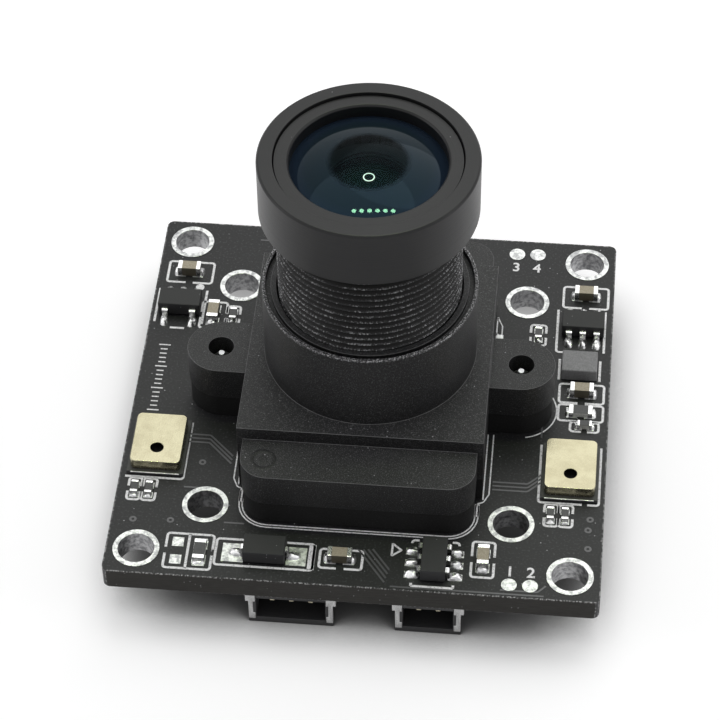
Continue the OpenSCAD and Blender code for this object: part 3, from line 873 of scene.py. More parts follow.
FLOAT, INTEGER, FINISH = "NodeSocketFloat", "NodeSocketInt", "NodeSocketMaterial"


def new_tree(name, inputs):
    """A geometry node tree with a Geometry input, these named inputs and a Finish."""
    tree = bpy.data.node_groups.new(name, "GeometryNodeTree")
    tree.interface.new_socket("Geometry", in_out="INPUT", socket_type="NodeSocketGeometry")
    for label, kind in {**inputs, "Finish": FINISH}.items():
        tree.interface.new_socket(label, in_out="INPUT", socket_type=kind)
    tree.interface.new_socket("Geometry", in_out="OUTPUT", socket_type="NodeSocketGeometry")
    graph = Graph(tree)
    return graph, graph.outputs("NodeGroupInput")


def close_tree(graph, geometry, wires):
    """Ends a tree: instances made real and the finish set."""
    real = graph.add("GeometryNodeRealizeInstances", None, {0: geometry})
    dressed = graph.add("GeometryNodeSetMaterial", None, {0: real, "Material": wires["Finish"]})
    graph.add("NodeGroupOutput", None, {0: dressed})
    return graph.tree


def line_tree():
    """Runs a flat strip of a given width and height along every edge of a mesh."""
    found = bpy.data.node_groups.get("strip_along_lines")
    if found:
        return found
    sizes = {"Width": FLOAT, "Height": FLOAT, "Corner": FLOAT}
    graph, wires = new_tree("strip_along_lines", sizes)
    curve = graph.add("GeometryNodeMeshToCurve", None, {0: wires["Geometry"]})
    curve = graph.add(
        "GeometryNodeFilletCurve",
        {"mode": "POLY"},
        {"Curve": curve, "Count": 4, "Radius": wires["Corner"], "Limit Radius": True},
    )
    curve = graph.add("GeometryNodeSetCurveNormal", {"mode": "Z_UP"}, {0: curve})
    strip = graph.add(
        "GeometryNodeCurvePrimitiveQuadrilateral",
        None,
        {"Width": wires["Width"], "Height": wires["Height"]},
    )
    made = graph.add(
        "GeometryNodeCurveToMesh", None, {"Curve": curve, "Profile Curve": strip, "Fill Caps": True}
    )
    return close_tree(graph, made, wires)


def tick_tree():
    """A row of short bars along +Y, with every fifth one longer."""
    sizes = {"Spacing": FLOAT, "Length": FLOAT, "Width": FLOAT, "Height": FLOAT}
    graph, wires = new_tree("graduation_row", {"Count": INTEGER, **sizes})
    step = graph.join(0, wires["Spacing"], 0)
    row = graph.add(
        "GeometryNodeMeshLine", {"mode": "OFFSET"}, {"Count": wires["Count"], "Offset": step}
    )
    size = graph.join(wires["Length"], wires["Width"], wires["Height"])
    bar = graph.add("GeometryNodeMeshCube", None, {"Size": size})
    index = graph.add("GeometryNodeInputIndex")
    fifth = graph.math("COMPARE", graph.math("MODULO", index, 5), 0, 0.1)
    bars = graph.add(
        "GeometryNodeInstanceOnPoints",
        None,
        {"Points": row, "Instance": bar, "Scale": graph.join(0.6 + 0.4 * fifth, 1, 1)},
    )
    return close_tree(graph, bars, wires)


def thread_tree():
    """A right-handed thread: a closed tooth rolled round +Z that tapers to nothing at both ends."""
    points_round = 9
    half_foot = 0.52  # in pitches
    sink = 0.15  # how far the tooth starts under the core, as a part of its depth
    sizes = {"Core Radius": FLOAT, "Crest Radius": FLOAT, "Pitch": FLOAT, "Turns": FLOAT}
    graph, wires = new_tree("helical_thread", {**sizes, "Foot": FLOAT, "Columns": INTEGER})
    core, turns = wires["Core Radius"], wires["Turns"]
    sheet = graph.add(
        "GeometryNodeMeshGrid",
        None,
        {"Size X": 1.0, "Size Y": 1.0, "Vertices X": wires["Columns"], "Vertices Y": points_round},
    )
    along, around, _ = graph.split(graph.add("GeometryNodeInputPosition"))
    along = along + 0.5
    around = (around + 0.5) * (2 * math.pi)
    angle = along * turns * (2 * math.pi)
    up = graph.math("COSINE", around) * half_foot
    outside = graph.math("GREATER_THAN", graph.math("SINE", around), 0.01)
    tooth = graph.math("MINIMUM", (1 - abs(up * 2)) * 1.25, 1) * outside
    nearest_end = graph.math("MINIMUM", along, 1 - along) * turns
    fade = graph.math("MINIMUM", nearest_end * 1.5, 1)
    depth = wires["Crest Radius"] - core
    radius = core + depth * ((tooth + sink * outside) / (1 + sink) * fade - sink)
    height = wires["Foot"] + (along * turns + up * fade) * wires["Pitch"]
    x, y = radius * graph.math("COSINE", angle), radius * graph.math("SINE", angle)
    made = graph.add(
        "GeometryNodeSetPosition",
        None,
        {"Geometry": sheet, "Position": graph.join(x, y, height)},
    )
    made = graph.add(
        "GeometryNodeMergeByDistance", None, {"Geometry": made, "Distance": 0.001 * MM}
    )
    return close_tree(graph, made, wires)


def grow(mesh, tree, **values):
    """Runs a tree on a mesh and gives back a plain mesh."""
    holder = bpy.data.objects.new("growing", mesh)
    bpy.context.scene.collection.objects.link(holder)
    modifier = holder.modifiers.new("grow", "NODES")
    modifier.node_group = tree
    for item in tree.interface.items_tree:
        key = item.name.replace(" ", "_").lower()
        if item.in_out == "INPUT" and key in values:
            modifier[item.identifier] = values[key]
    bpy.context.view_layer.update()
    return plain_mesh(holder)


def plain_mesh(holder):
    """The finished mesh of an object, which is then removed."""
    graph = bpy.context.evaluated_depsgraph_get()
    made = bpy.data.meshes.new_from_object(holder.evaluated_get(graph))
    holder.modifiers.clear()
    bpy.data.objects.remove(holder)
    return made


def strips(name, lines, z, width, height, finish_name, corner):
    """A piece of flat strips along open or closed lines of (x, y) points in millimetres."""
    mesh = bpy.data.meshes.new(f"{name}_lines")
    points, edges = [], []
    for line in lines:
        closed = line[0] == line[-1]
        start = len(points)
        kept = line[:-1] if closed else line
        points += [(x * MM, y * MM, z) for x, y in kept]
        edges += [(start + i, start + i + 1) for i in range(len(kept) - 1)]
        if closed:
            edges.append((start + len(kept) - 1, start))
    mesh.from_pydata(points, edges, [])
    made = grow(
        mesh,
        line_tree(),
        width=width * MM,
        height=height * MM,
        corner=corner * MM,
        finish=finish(finish_name),
    )
    place_piece(name, made, BOARD_BODY, [finish_name])


# ---------------------------------------------------------------- settings


def number(label, note, default, unit="LENGTH"):
    return bpy.props.FloatProperty(
        name=label, description=note, default=default, precision=5, unit=unit
    )


def colour(label, note, default):
    return bpy.props.FloatVectorProperty(
        name=label, description=note, default=default, subtype="COLOR", min=0, max=1
    )


class BoardSettings(bpy.types.PropertyGroup):
    """Sizes and colours of the printed board."""

    mask_colour: colour("Mask Colour", "Colour of the solder mask", (0.017, 0.017, 0.0185))
    legend_width: number("Legend Width", "Width of the printed lines", 0.17 * MM)
    legend_height: number("Legend Height", "How far the print stands up", 0.02 * MM)
    land_height: number("Land Height", "How far the bare lands stand up", 0.035 * MM)
    track_width: number("Track Width", "Width of the tracks under the mask", 0.12 * MM)
    tick_count: bpy.props.IntProperty(
        name="Ticks", description="Graduations along the left edge", default=16, min=2
    )


class HolderSettings(bpy.types.PropertyGroup):
    """Look of the moulded parts."""

    plastic_colour: colour("Plastic Colour", "Colour of the lens holder", (0.02, 0.02, 0.021))
    edge_radius: number("Edge Radius", "Rounding of the holder's edges", 0.07 * MM)
    chip_radius: number("Chip Radius", "Rounding of the chips' edges", 0.06 * MM)


class LensSettings(bpy.types.PropertyGroup):
    """Sizes and colours of the lens."""

    barrel_colour: colour("Barrel Colour", "Colour of the anodised metal", (0.014, 0.014, 0.015))
    thread_diameter: number("Thread Diameter", "Diameter over the crests", 12 * MM)
    thread_depth: number("Thread Depth", "Depth of the thread", 0.3 * MM)
    thread_pitch: number("Thread Pitch", "Height of one turn", 0.5 * MM)
    turn_steps: bpy.props.IntProperty(
        name="Turn Steps", description="Faces round one turn of the thread", default=72, min=12
    )


class StageSettings(bpy.types.PropertyGroup):
    """Light and floor."""

    key: number("Key", "Power of the large overhead lamp", 0.3, "POWER")
    back: number("Back", "Power of the lamp behind the module", 0.315, "POWER")
    side: number("Side", "Power of each side lamp", 0.12, "POWER")
    spot: number("Spot", "Power of each small lamp of the overhead row", 0.045, "POWER")
    sky: number("Sky", "Strength of the even light from all round", 0.35, "NONE")
    floor_glow: number("Floor Glow", "Part of the floor's white that no shadow takes", 0.33, "NONE")
    under_glow: number("Under Glow", "Light from the floor behind the board's front", 0.38, "NONE")


class ModuleSettings(bpy.types.PropertyGroup):
    """Everything a user would change."""

    board: bpy.props.PointerProperty(type=BoardSettings)
    holder: bpy.props.PointerProperty(type=HolderSettings)
    lens: bpy.props.PointerProperty(type=LensSettings)
    stage: bpy.props.PointerProperty(type=StageSettings)


# ---------------------------------------------------------------- board


class BoardOperator(bpy.types.Operator):
    """Dresses the printed board"""

    bl_idname = "module.board"
    bl_label = "Board"

    def execute(self, context):
        dress("circuit_board", "solder_mask")
        return {"FINISHED"}


class PlatingsOperator(bpy.types.Operator):
    """Turns the tinned rings of the bolt holes"""

    bl_idname = "module.platings"
    bl_label = "Hole Platings"

    def execute(self, context):
        flange = 0.05 * MM
        for node in ("corner_hole_platings", "inner_hole_platings"):
            joined = bmesh.new()
            for low, high in islands(node):
                outer = (high.x - low.x) / 2
                bore = outer - 0.35 * MM
                barrel = bore + 0.05 * MM
                outline = rounded_profile(
                    [
                        (bore, low.z),
                        (outer, low.z),
                        (outer, low.z + flange),
                        (barrel, low.z + flange),
                        (barrel, high.z - flange),
                        (outer, high.z - flange),
                        (outer, high.z),
                        (bore, high.z),
                    ],
                    0.03 * MM,
                )
                ring = lathe(outline, 72, (low + high) / 2)
                mesh = bpy.data.meshes.new("ring")
                ring.to_mesh(mesh)
                ring.free()
                joined.from_mesh(mesh)
                bpy.data.meshes.remove(mesh)
            place_piece(f"{node}_turned", joined, BOARD_BODY, ["tin"], [node])
        return {"FINISHED"}


# Printed brackets round the parts, in millimetres: left, right, front and rear edge, the gap
# in the middle of two sides, and whether the gap is in the left and right sides.
BRACKETS = [
    (-12.1, -9.05, -15.4, -12.55, 0.5, True),
    (-2.1, 0.65, -14.6, -13.05, 0.5, False),
    (7.65, 9.1, -14.55, -11.65, 0.5, True),
    (-15.25, -14.4, -9.95, -8.1, 0.45, True),
    (-14.3, -13.4, -9.95, -8.1, 0.45, True),
    (12.1, 13.0, -9.95, -8.1, 0.45, True),
    (13.05, 13.95, -9.95, -8.1, 0.45, True),
    (-15.3, -12.15, 10.0, 12.0, 0.5, False),
    (12.5, 15.6, 9.75, 11.75, 0.5, False),
    (12.6, 15.6, 0.9, 2.6, 0.5, False),
    (12.6, 15.6, -0.72, 0.72, 0.5, False),
    (13.45, 15.35, -1.65, -0.8, 0.4, False),
    (10.4, 11.45, 6.0, 7.9, 0.4, True),
    (-12.5, -10.75, 5.75, 8.25, 0.5, True),
    (-10.7, -9.8, 6.05, 7.95, 0.4, True),
]

# Other printed lines as (x, y) points in millimetres.
OUTLINES = [
    [(-10.65, -12.55), (-10.65, -15.4)],
    [(-7.0, -12.75), (-8.85, -12.75), (-8.85, -14.9), (-2.5, -14.9), (-2.5, -12.75), (-4.3, -12.75)],
    [(3.9, -15.6), (6.6, -15.6)],
    [(3.9, -15.6), (3.9, -15.35)],
    [(6.6, -15.6), (6.6, -15.35)],
    [(3.75, -12.1), (3.75, -11.85), (4.2, -11.85)],
    [(6.35, -11.85), (6.8, -11.85), (6.8, -12.1)],
    [(-12.35, 9.3), (-12.35, 6.1)],
    [(-15.65, 9.3), (-15.65, 6.1)],
    [(-14.5, 5.6), (-13.5, 5.6)],
    [(12.2, 9.5), (12.2, 5.5), (12.7, 5.5)],
    [(15.45, 9.5), (15.45, 5.6)],
    [(12.5, 2.95), (12.5, 4.85)],
    [(15.25, 2.95), (15.25, 4.85)],
    [(-11.75, -3.0), (-11.75, -7.98), (-15.6, -7.98)],
    [(11.65, -3.0), (11.65, -7.98), (14.5, -7.98)],
    [(14.85, -7.98), (15.6, -7.98), (15.6, -3.0)],
]

# Printed digits: name, digit and centre in millimetres.
DIGITS = [
    ("legend_one", "1", 10.15, -13.95),
    ("legend_two", "2", 11.5, -13.95),
    ("legend_three", "3", 9.05, 13.35),
    ("legend_four", "4", 10.5, 13.35),
]


def bracket(x0, x1, y0, y1, gap, upright):
    """Two facing halves of a rectangle, open in the middle of two sides."""
    if upright:
        middle = (y0 + y1) / 2
        return [
            [(x0, middle - gap / 2), (x0, y0), (x1, y0), (x1, middle - gap / 2)],
            [(x0, middle + gap / 2), (x0, y1), (x1, y1), (x1, middle + gap / 2)],
        ]
    middle = (x0 + x1) / 2
    return [
        [(middle - gap / 2, y0), (x0, y0), (x0, y1), (middle - gap / 2, y1)],
        [(middle + gap / 2, y0), (x1, y0), (x1, y1), (middle + gap / 2, y1)],
    ]


def arc(x, y, radius, start, end, steps):
    """Points of an arc in millimetres; angles in degrees from +X."""
    made = []
    for k in range(steps + 1):
        angle = math.radians(start + (end - start) * k / steps)
        made.append((x + radius * math.cos(angle), y + radius * math.sin(angle)))
    return made


def holder_lines():
    """Thin double outlines round the holder's foot, in millimetres."""
    lines = []
    inner = arc(5.85, 9.6, 1.77, 0, 90, 8)
    outer = arc(5.85, 9.6, 1.97, 0, 90, 8)
    paths = [
        [(8.42, 2.4), (8.42, 7.6), (8.1, 8.3), (7.62, 8.5), *inner, (0, 11.37)],
        [(7.82, 8.6), *outer, (0, 11.57)],
        [(8.05, 2.4), (8.05, 8.1)],
    ]
    for side in (-1, 1):
        for end in (-1, 1):
            lines += [[(side * x, end * y) for x, y in path] for path in paths]
    lines.append(arc(10, 0, 2.5, -78, 40, 20))
    return lines


class LegendOperator(bpy.types.Operator):
    """Prints the outlines, marks, digits and the row of graduations"""

    bl_idname = "module.legend"
    bl_label = "Legend"

    def execute(self, context):
        board = settings().board
        z = BOARD_TOP + board.legend_height / 2 - SINK
        width = board.legend_width / MM
        halves = [half for box in BRACKETS for half in bracket(*box)]
        via_ring = arc(8.3, 7.55, 0.8, 100, 260, 14)
        bars = [[(side * 7.72, -8.5), (side * 7.72, -9.55)] for side in (-1, 1)]
        arrow = [(2.5, -12.25), (2.5, -13.25), (3.1, -12.75), (2.5, -12.25)]
        diode_bar = [(-2.62, -12.8), (-2.62, -14.85)]
        for name, lines, breadth, corner in (
            ("legend_outlines", [*halves, *OUTLINES, via_ring], width, 0.2),
            ("legend_holder_outline", holder_lines(), 0.09, 0.3),
            ("legend_holder_bars", bars, 0.32, 0.1),
            ("legend_arrow", [arrow], 0.14, 0.02),
            ("legend_diode_bar", [diode_bar], 0.45, 0.1),
        ):
            strips(name, lines, z, breadth, board.legend_height / MM, "legend", corner)
        marks = bmesh.new()
        add_disc(marks, (-12.9 * MM, 9.6 * MM, BOARD_TOP), 0.3 * MM, board.legend_height)
        place_piece("legend_marks", marks, BOARD_BODY, ["legend"])
        ticks = grow(
            bpy.data.meshes.new("graduation_seed"),
            tick_tree(),
            count=board.tick_count,
            spacing=0.4 * MM,
            length=0.8 * MM,
            width=0.1 * MM,
            height=board.legend_height,
            finish=finish("legend"),
        )
        ticks.transform(Matrix.Translation((-14.6 * MM, -2.05 * MM, z)))
        place_piece("legend_graduations", ticks, BOARD_BODY, ["legend"])
        for name, digit, x, y in DIGITS:
            self.print_digit(name, digit, (x * MM, y * MM, z))
        return {"FINISHED"}

    def print_digit(self, name, digit, place):
        """One printed digit, as a thin closed plate."""
        curve = bpy.data.curves.new(name, "FONT")
        curve.body = digit
        curve.size = 1.15 * MM
        curve.align_x = "CENTER"
        curve.align_y = "CENTER"
        curve.extrude = settings().board.legend_height / 2
        curve.offset = 0.02 * MM
        curve.resolution_u = 3
        holder = bpy.data.objects.new(name, curve)
        bpy.context.scene.collection.objects.link(holder)
        mesh = plain_mesh(holder)
        mesh.transform(Matrix.Translation(place))
        place_piece(f"{name}_print", mesh, BOARD_BODY, ["legend"])


# Centres of the vias in millimetres.
VIAS = [
    (-14.55, -11.6),
    (-12.1, -11.5),
    (-10.65, -6.4),
    (15.1, -9.2),
    (15.0, -10.1),
    (15.05, -11.65),
]

# Tracks under the mask as (x, y) points in millimetres.
TRACKS = [
    [(-8.6, -11.4), (-7.3, -11.4)],
    [(-11.6, -8.6), (-9.6, -8.6), (-8.4, -10.0)],
    [(2.6, -15.75), (12.4, -15.75)],
    [(9.6, -15.45), (12.0, -15.45), (12.5, -14.9)],
    [(9.4, 4.6), (11.6, 2.6), (11.6, -2.4)],
    [(-11.2, 4.6), (-11.2, -1.8)],
    [(-6.5, 12.4), (6.5, 12.4)],
    [(-9.2, 14.6), (6.0, 14.6)],
]


class TracksOperator(bpy.types.Operator):
    """Runs the tracks under the mask and the vias between them"""

    bl_idname = "module.tracks"
    bl_label = "Tracks"

    def execute(self, context):
        fans = []
        for k in range(4):
            x, y = 0.35 + k * 0.3, -12.95 + k * 0.05
            fans.append([(x, y), (x + 1.85 - k * 0.22, y - 2.5 + k * 0.3)])
        for k in range(3):
            drop = k * 0.33
            fans.append([(12.0, -5.4 - drop), (10.9, -6.5 - drop), (8.6, -6.5 - drop)])
            end = (-8.7 - k * 0.02, -5.7 - drop)
            fans.append([(-12.0, -4.0 - drop), (-10.4, -4.0 - drop), end])
        width = settings().board.track_width / MM
        strips("tracks", fans + TRACKS, BOARD_TOP, width, 0.03, "track", 0.3)
        vias = bmesh.new()
        for x, y in VIAS:
            centre = (x * MM, y * MM, BOARD_TOP - 2 * SINK)
            add_disc(vias, centre, 0.24 * MM, 0.03 * MM, hole=0.1 * MM, turns=24)
        place_piece("vias", vias, BOARD_BODY, ["track"])
        return {"FINISHED"}


# Bare tinned lands in millimetres: centre, width and depth.
LANDS = [
    (-11.35, -13.25, 0.75, 0.75),
    (-11.35, -14.7, 0.75, 0.75),
    (-9.85, -13.25, 0.8, 0.75),
    (-9.85, -14.75, 0.8, 0.75),
    (-7.7, -13.85, 1.45, 1.5),
    (-3.6, -13.85, 1.3, 1.5),
    (3.75, -12.8, 0.7, 0.55),
    (3.75, -13.75, 0.7, 0.55),
    (3.75, -14.7, 0.7, 0.55),
    (6.8, -12.8, 0.7, 0.55),
    (6.8, -13.75, 0.7, 0.55),
    (6.8, -14.7, 0.7, 0.55),
    (8.3, 6.55, 0.45, 0.45),
]

# Round test points in millimetres: centre and radius.
TEST_POINTS = [(10.15, -15.0, 0.5), (11.5, -15.0, 0.5), (9.05, 14.65, 0.55), (10.5, 14.7, 0.55)]

CAPACITORS = [
    "front_capacitor",
    "front_right_capacitor",
    "left_rear_capacitor",
    "left_side_capacitor",
    "right_rear_capacitor",
    "right_side_capacitor",
    "underside_capacitors",
]

RESISTORS = [
    "front_resistor",
    "left_side_resistor",
    "rear_right_resistor",
    "right_side_resistors",
    "left_microphone_resistors",
    "right_microphone_resistors",
]


class LandsOperator(bpy.types.Operator):
    """Lays the tinned lands and test points"""

    bl_idname = "module.lands"
    bl_label = "Lands"

    def execute(self, context):
        height = settings().board.land_height
        round_edge = height * 0.3
        shell = bmesh.new()
        for x, y, width, depth in LANDS:
            centre = (x * MM, y * MM, BOARD_TOP - SINK)
            add_box(shell, centre, (width * MM, depth * MM, height), round_edge)
        for x, y, radius in TEST_POINTS:
            add_disc(shell, (x * MM, y * MM, BOARD_TOP - SINK), radius * MM, height, turns=40)
        for node in CAPACITORS + RESISTORS:
            for low, high in islands(node):
                size, middle, along, hangs = lie_of(low, high)
                land = [size.x + 0.1 * MM, size.y + 0.1 * MM, height]
                land[along] = size[along] * 0.36 + 0.15 * MM
                reach = (size[along] - land[along]) / 2 + 0.16 * MM
                for side in (-1, 1):
                    place = [middle.x, middle.y, BOARD_LOW.z - height if hangs else BOARD_TOP]
                    place[along] += side * reach
                    add_box(shell, place, land, round_edge)
        place_piece("lands", shell, BOARD_BODY, ["tin"])
        return {"FINISHED"}


# ---------------------------------------------------------------- holder


class HolderOperator(bpy.types.Operator):
    """Rounds the moulded lens holder"""

    bl_idname = "module.holder"
    bl_label = "Lens Holder"

    def execute(self, context):
        width = settings().holder.edge_radius / MM
        softened_copy("lens_holder", "holder_plastic", width, steps=3)
        return {"FINISHED"}


class ScrewsOperator(bpy.types.Operator):
    """Rounds the two screws that hold the lens holder"""

    bl_idname = "module.screws"
    bl_label = "Holder Screws"

    def execute(self, context):
        softened_copy("holder_screws", "screw_steel", 0.05)
        return {"FINISHED"}


# ---------------------------------------------------------------- lens


HEAD_HEIGHT = 4.2 * MM
RECESS_DEPTH = 1.2 * MM
RING_WIDTH = 0.93 * MM


class BarrelOperator(bpy.types.Operator):
    """Turns the lens barrel and cuts its thread"""

    bl_idname = "module.barrel"
    bl_label = "Lens Barrel"

    def execute(self, context):
        lens = settings().lens
        low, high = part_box("lens_barrel")
        glass_low, glass_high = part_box("front_glass")
        top, foot, head = high.z, low.z, high.x
        neck = top - HEAD_HEIGHT
        shoulder = top - RECESS_DEPTH
        recess = head - 1.02 * MM
        crest = lens.thread_diameter / 2
        root = crest - lens.thread_depth
        seat = glass_low.z - 0.02 * MM
        seat_radius = glass_high.x + 0.05 * MM
        stack = crest - 1.5 * MM
        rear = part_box("rear_glass")[0].z - 0.4 * MM
        opening = stack - 1.25 * MM
        chamfer = 0.12 * MM
        sharp = 0.02 * MM
        outline = rounded_profile(
            [
                (recess, top),
                (head - chamfer, top, 0.04 * MM),
                (head, top - chamfer),
                (head, neck + chamfer),
                (head - chamfer, neck, 0.04 * MM),
                (root, neck, 0.1 * MM),
                (root, foot + 0.35 * MM),
                (root - 0.2 * MM, foot),
                (opening, foot, sharp),
                (opening, rear, sharp),
                (stack, rear, sharp),
                (stack, seat, sharp),
                (seat_radius, seat, sharp),
                (seat_radius, shoulder, sharp),
                (recess, shoulder, sharp),
            ],
            0.05 * MM,
        )
        barrel = lathe(outline, 192)
        place_piece(
            "barrel_turned", barrel, BARREL_BODY, ["anodised"], ["lens_barrel"]
        )
        turns = math.floor((neck - foot - 0.7 * MM) / lens.thread_pitch)
        thread = grow(
            bpy.data.meshes.new("thread_seed"),
            thread_tree(),
            core_radius=root,
            crest_radius=crest,
            pitch=lens.thread_pitch,
            turns=float(turns),
            foot=neck - 0.35 * MM - turns * lens.thread_pitch,
            columns=turns * lens.turn_steps + 1,
            finish=finish("thread_finish"),
        )
        place_piece("barrel_thread", thread, BARREL_BODY, ["thread_finish"])
        return {"FINISHED"}


class RingOperator(bpy.types.Operator):
    """Turns the ring that holds the front glass"""

    bl_idname = "module.ring"
    bl_label = "Front Ring"

    def execute(self, context):
        low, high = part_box("front_ring")
        inner = high.x - RING_WIDTH
        chamfer = 0.12 * MM
        outline = rounded_profile(
            [
                (inner, low.z),
                (high.x, low.z),
                (high.x, high.z),
                (inner + chamfer, high.z),
                (inner, high.z - chamfer),
            ],
            0.04 * MM,
        )
        ring = lathe(outline, 160)
        place_piece(
            "front_ring_turned", ring, BARREL_BODY, ["anodised"], ["front_ring"]
        )
        return {"FINISHED"}


def cap(rim, sag, z):
    """Points of a spherical cap from its rim in to the axis; z is the height of its rim."""
    steps = 24
    ball = (rim * rim + sag * sag) / (2 * sag)
    reach = math.asin(min(1, rim / ball))
    made = []
    for k in range(steps + 1):
        angle = reach * (1 - k / steps)
        made.append((ball * math.sin(angle), z + ball * (math.cos(angle) - math.cos(reach))))
    return made


class GlassOperator(bpy.types.Operator):
    """Makes the lens's glass stack with its spacers"""

    bl_idname = "module.glass"
    bl_label = "Glass Stack"

    def execute(self, context):
        self.make_front()
        self.make_second()
        for node in ("third_glass", "rear_glass"):
            dress(node, "inner_glass")
        for node in ("upper_spacer", "middle_spacer", "aperture_stop", "rear_spacer"):
            dress(node, "spacer_black")
        return {"FINISHED"}

    def make_front(self):
        """The domed front glass, with a painted edge and a hollow behind."""
        low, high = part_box("front_glass")
        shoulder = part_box("lens_barrel")[1].z - RECESS_DEPTH
        dome_foot = shoulder + 0.07 * MM
        dome_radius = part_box("front_ring")[1].x - RING_WIDTH - 0.04 * MM
        hollow_radius = 2.75 * MM
        outline = [(high.x, low.z), (high.x, shoulder)]
        outline += cap(dome_radius, high.z - dome_foot, dome_foot)
        outline += cap(hollow_radius, 1.77 * MM, low.z)[::-1]
        front = lathe(outline, 128)
        for face in front.faces:
            middle = face.calc_center_median()
            outside = math.hypot(middle.x, middle.y) > hollow_radius + 0.01 * MM
            if middle.z < shoulder + 0.02 * MM and outside:
                face.material_index = 1
            elif face.normal.z < 0:
                face.material_index = 2
        place_piece(
            "front_glass_turned",
            front,
            GLASS_BODY,
            ["coated_glass", "edge_paint", "hollow_coating"],
            ["front_glass"],
        )

    def make_second(self):
        """The second glass, domed in front and dished behind."""
        low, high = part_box("second_glass")
        sag = 1.6 * MM
        base = high.z - sag
        outline = [(0, low.z + 0.8 * MM), (2.6 * MM, low.z), (high.x, low.z), (high.x, base)]
        outline += cap(3.3 * MM, sag, base)
        place_piece(
            "second_glass_turned",
            lathe(outline, 96),
            GLASS_BODY,
            ["inner_glass"],
            ["second_glass"],
        )


class SensorOperator(bpy.types.Operator):
    """Dresses the sensor and the filter under the lens"""

    bl_idname = "module.sensor"
    bl_label = "Sensor"

    def execute(self, context):
        dress("sensor_package", "package_ceramic")
        dress("sensor_die", "silicon")
        dress("sensor_cover_glass", "cover_glass")
        dress("infrared_filter", "filter_glass")
        return {"FINISHED"}


# ---------------------------------------------------------------- parts on the board


class MicrophonesOperator(bpy.types.Operator):
    """Makes the two drawn microphone cans and their bases"""

    bl_idname = "module.microphones"
    bl_label = "Microphones"

    def execute(self, context):
        seams = bmesh.new()
        for side in ("left", "right"):
            softened_copy(f"{side}_microphone_lid", "lid_gold", 0.1, steps=3)
            softened_copy(f"{side}_microphone_base", "laminate", 0.02)
            low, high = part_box(f"{side}_microphone_base")
            rim = ((low.x + high.x) / 2, low.y - 0.01 * MM, high.z - 0.09 * MM)
            size = ((high.x - low.x) * 0.86, 0.05 * MM, 0.08 * MM)
            add_box(seams, rim, size, 0.015 * MM)
        place_piece("microphone_seams", seams, BOARD_BODY, ["solder"])
        return {"FINISHED"}


class HeadersOperator(bpy.types.Operator):
    """Rounds the three header sockets, their contacts and their soldered clips"""

    bl_idname = "module.headers"
    bl_label = "Headers"

    def execute(self, context):
        feet = bmesh.new()
        for name in HEADERS:
            softened_copy(f"{name}_housing", "header_moulding", 0.05)
            softened_copy(f"{name}_clips", "clip_metal", 0.03, steps=1)
            softened_copy(f"{name}_contacts", "contact_metal", 0.03, steps=1)
            low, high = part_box(f"{name}_housing")
            y = high.y - 0.7 * MM if low.y > 0 else low.y + 0.7 * MM
            for side, edge in ((-1, low.x), (1, high.x)):
                place = (edge + side * 0.75 * MM, y, BOARD_LOW.z)
                seed = int(edge * 10000) % 97
                add_mound(feet, place, (1.5 * MM, 1.6 * MM), 0.45 * MM, seed, down=True)
        place_piece("header_solder", feet, BOARD_BODY, ["solder"])
        return {"FINISHED"}


def add_strip(shell, path, width, thickness, across):
    """Adds a bent strip along a path of points; across is the unit vector of its width."""
    stations = []
    for i, point in enumerate(path):
        before = path[max(i - 1, 0)]
        after = path[min(i + 1, len(path) - 1)]
        normal = (after - before).normalized().cross(across)
        corners = []
        for a, b in ((-1, -1), (1, -1), (1, 1), (-1, 1)):
            offset = across * (a * width / 2) + normal * (b * thickness / 2)
            corners.append(shell.verts.new(point + offset))
        stations.append(corners)
    faces = [shell.faces.new(stations[0][::-1]), shell.faces.new(stations[-1])]
    for here, there in zip(stations, stations[1:]):
        for k in range(4):
            n = (k + 1) % 4
            faces.append(shell.faces.new((here[k], here[n], there[n], there[k])))
    bmesh.ops.recalc_face_normals(shell, faces=faces)


def round_path(points, radius):
    """A path of points with its inner corners turned into arcs."""
    steps = 5
    made = [points[0]]
    for before, here, after in zip(points, points[1:], points[2:]):
        start = here + (before - here).normalized() * radius
        end = here + (after - here).normalized() * radius
        made += [bend(start, here, end, k / steps) for k in range(steps + 1)]
    made.append(points[-1])
    return made


LEADED_CHIPS = (
    "front_chip",
    "converter_chip",
    "regulator_chip",
    "protection_diode",
    "flash_chip",
)


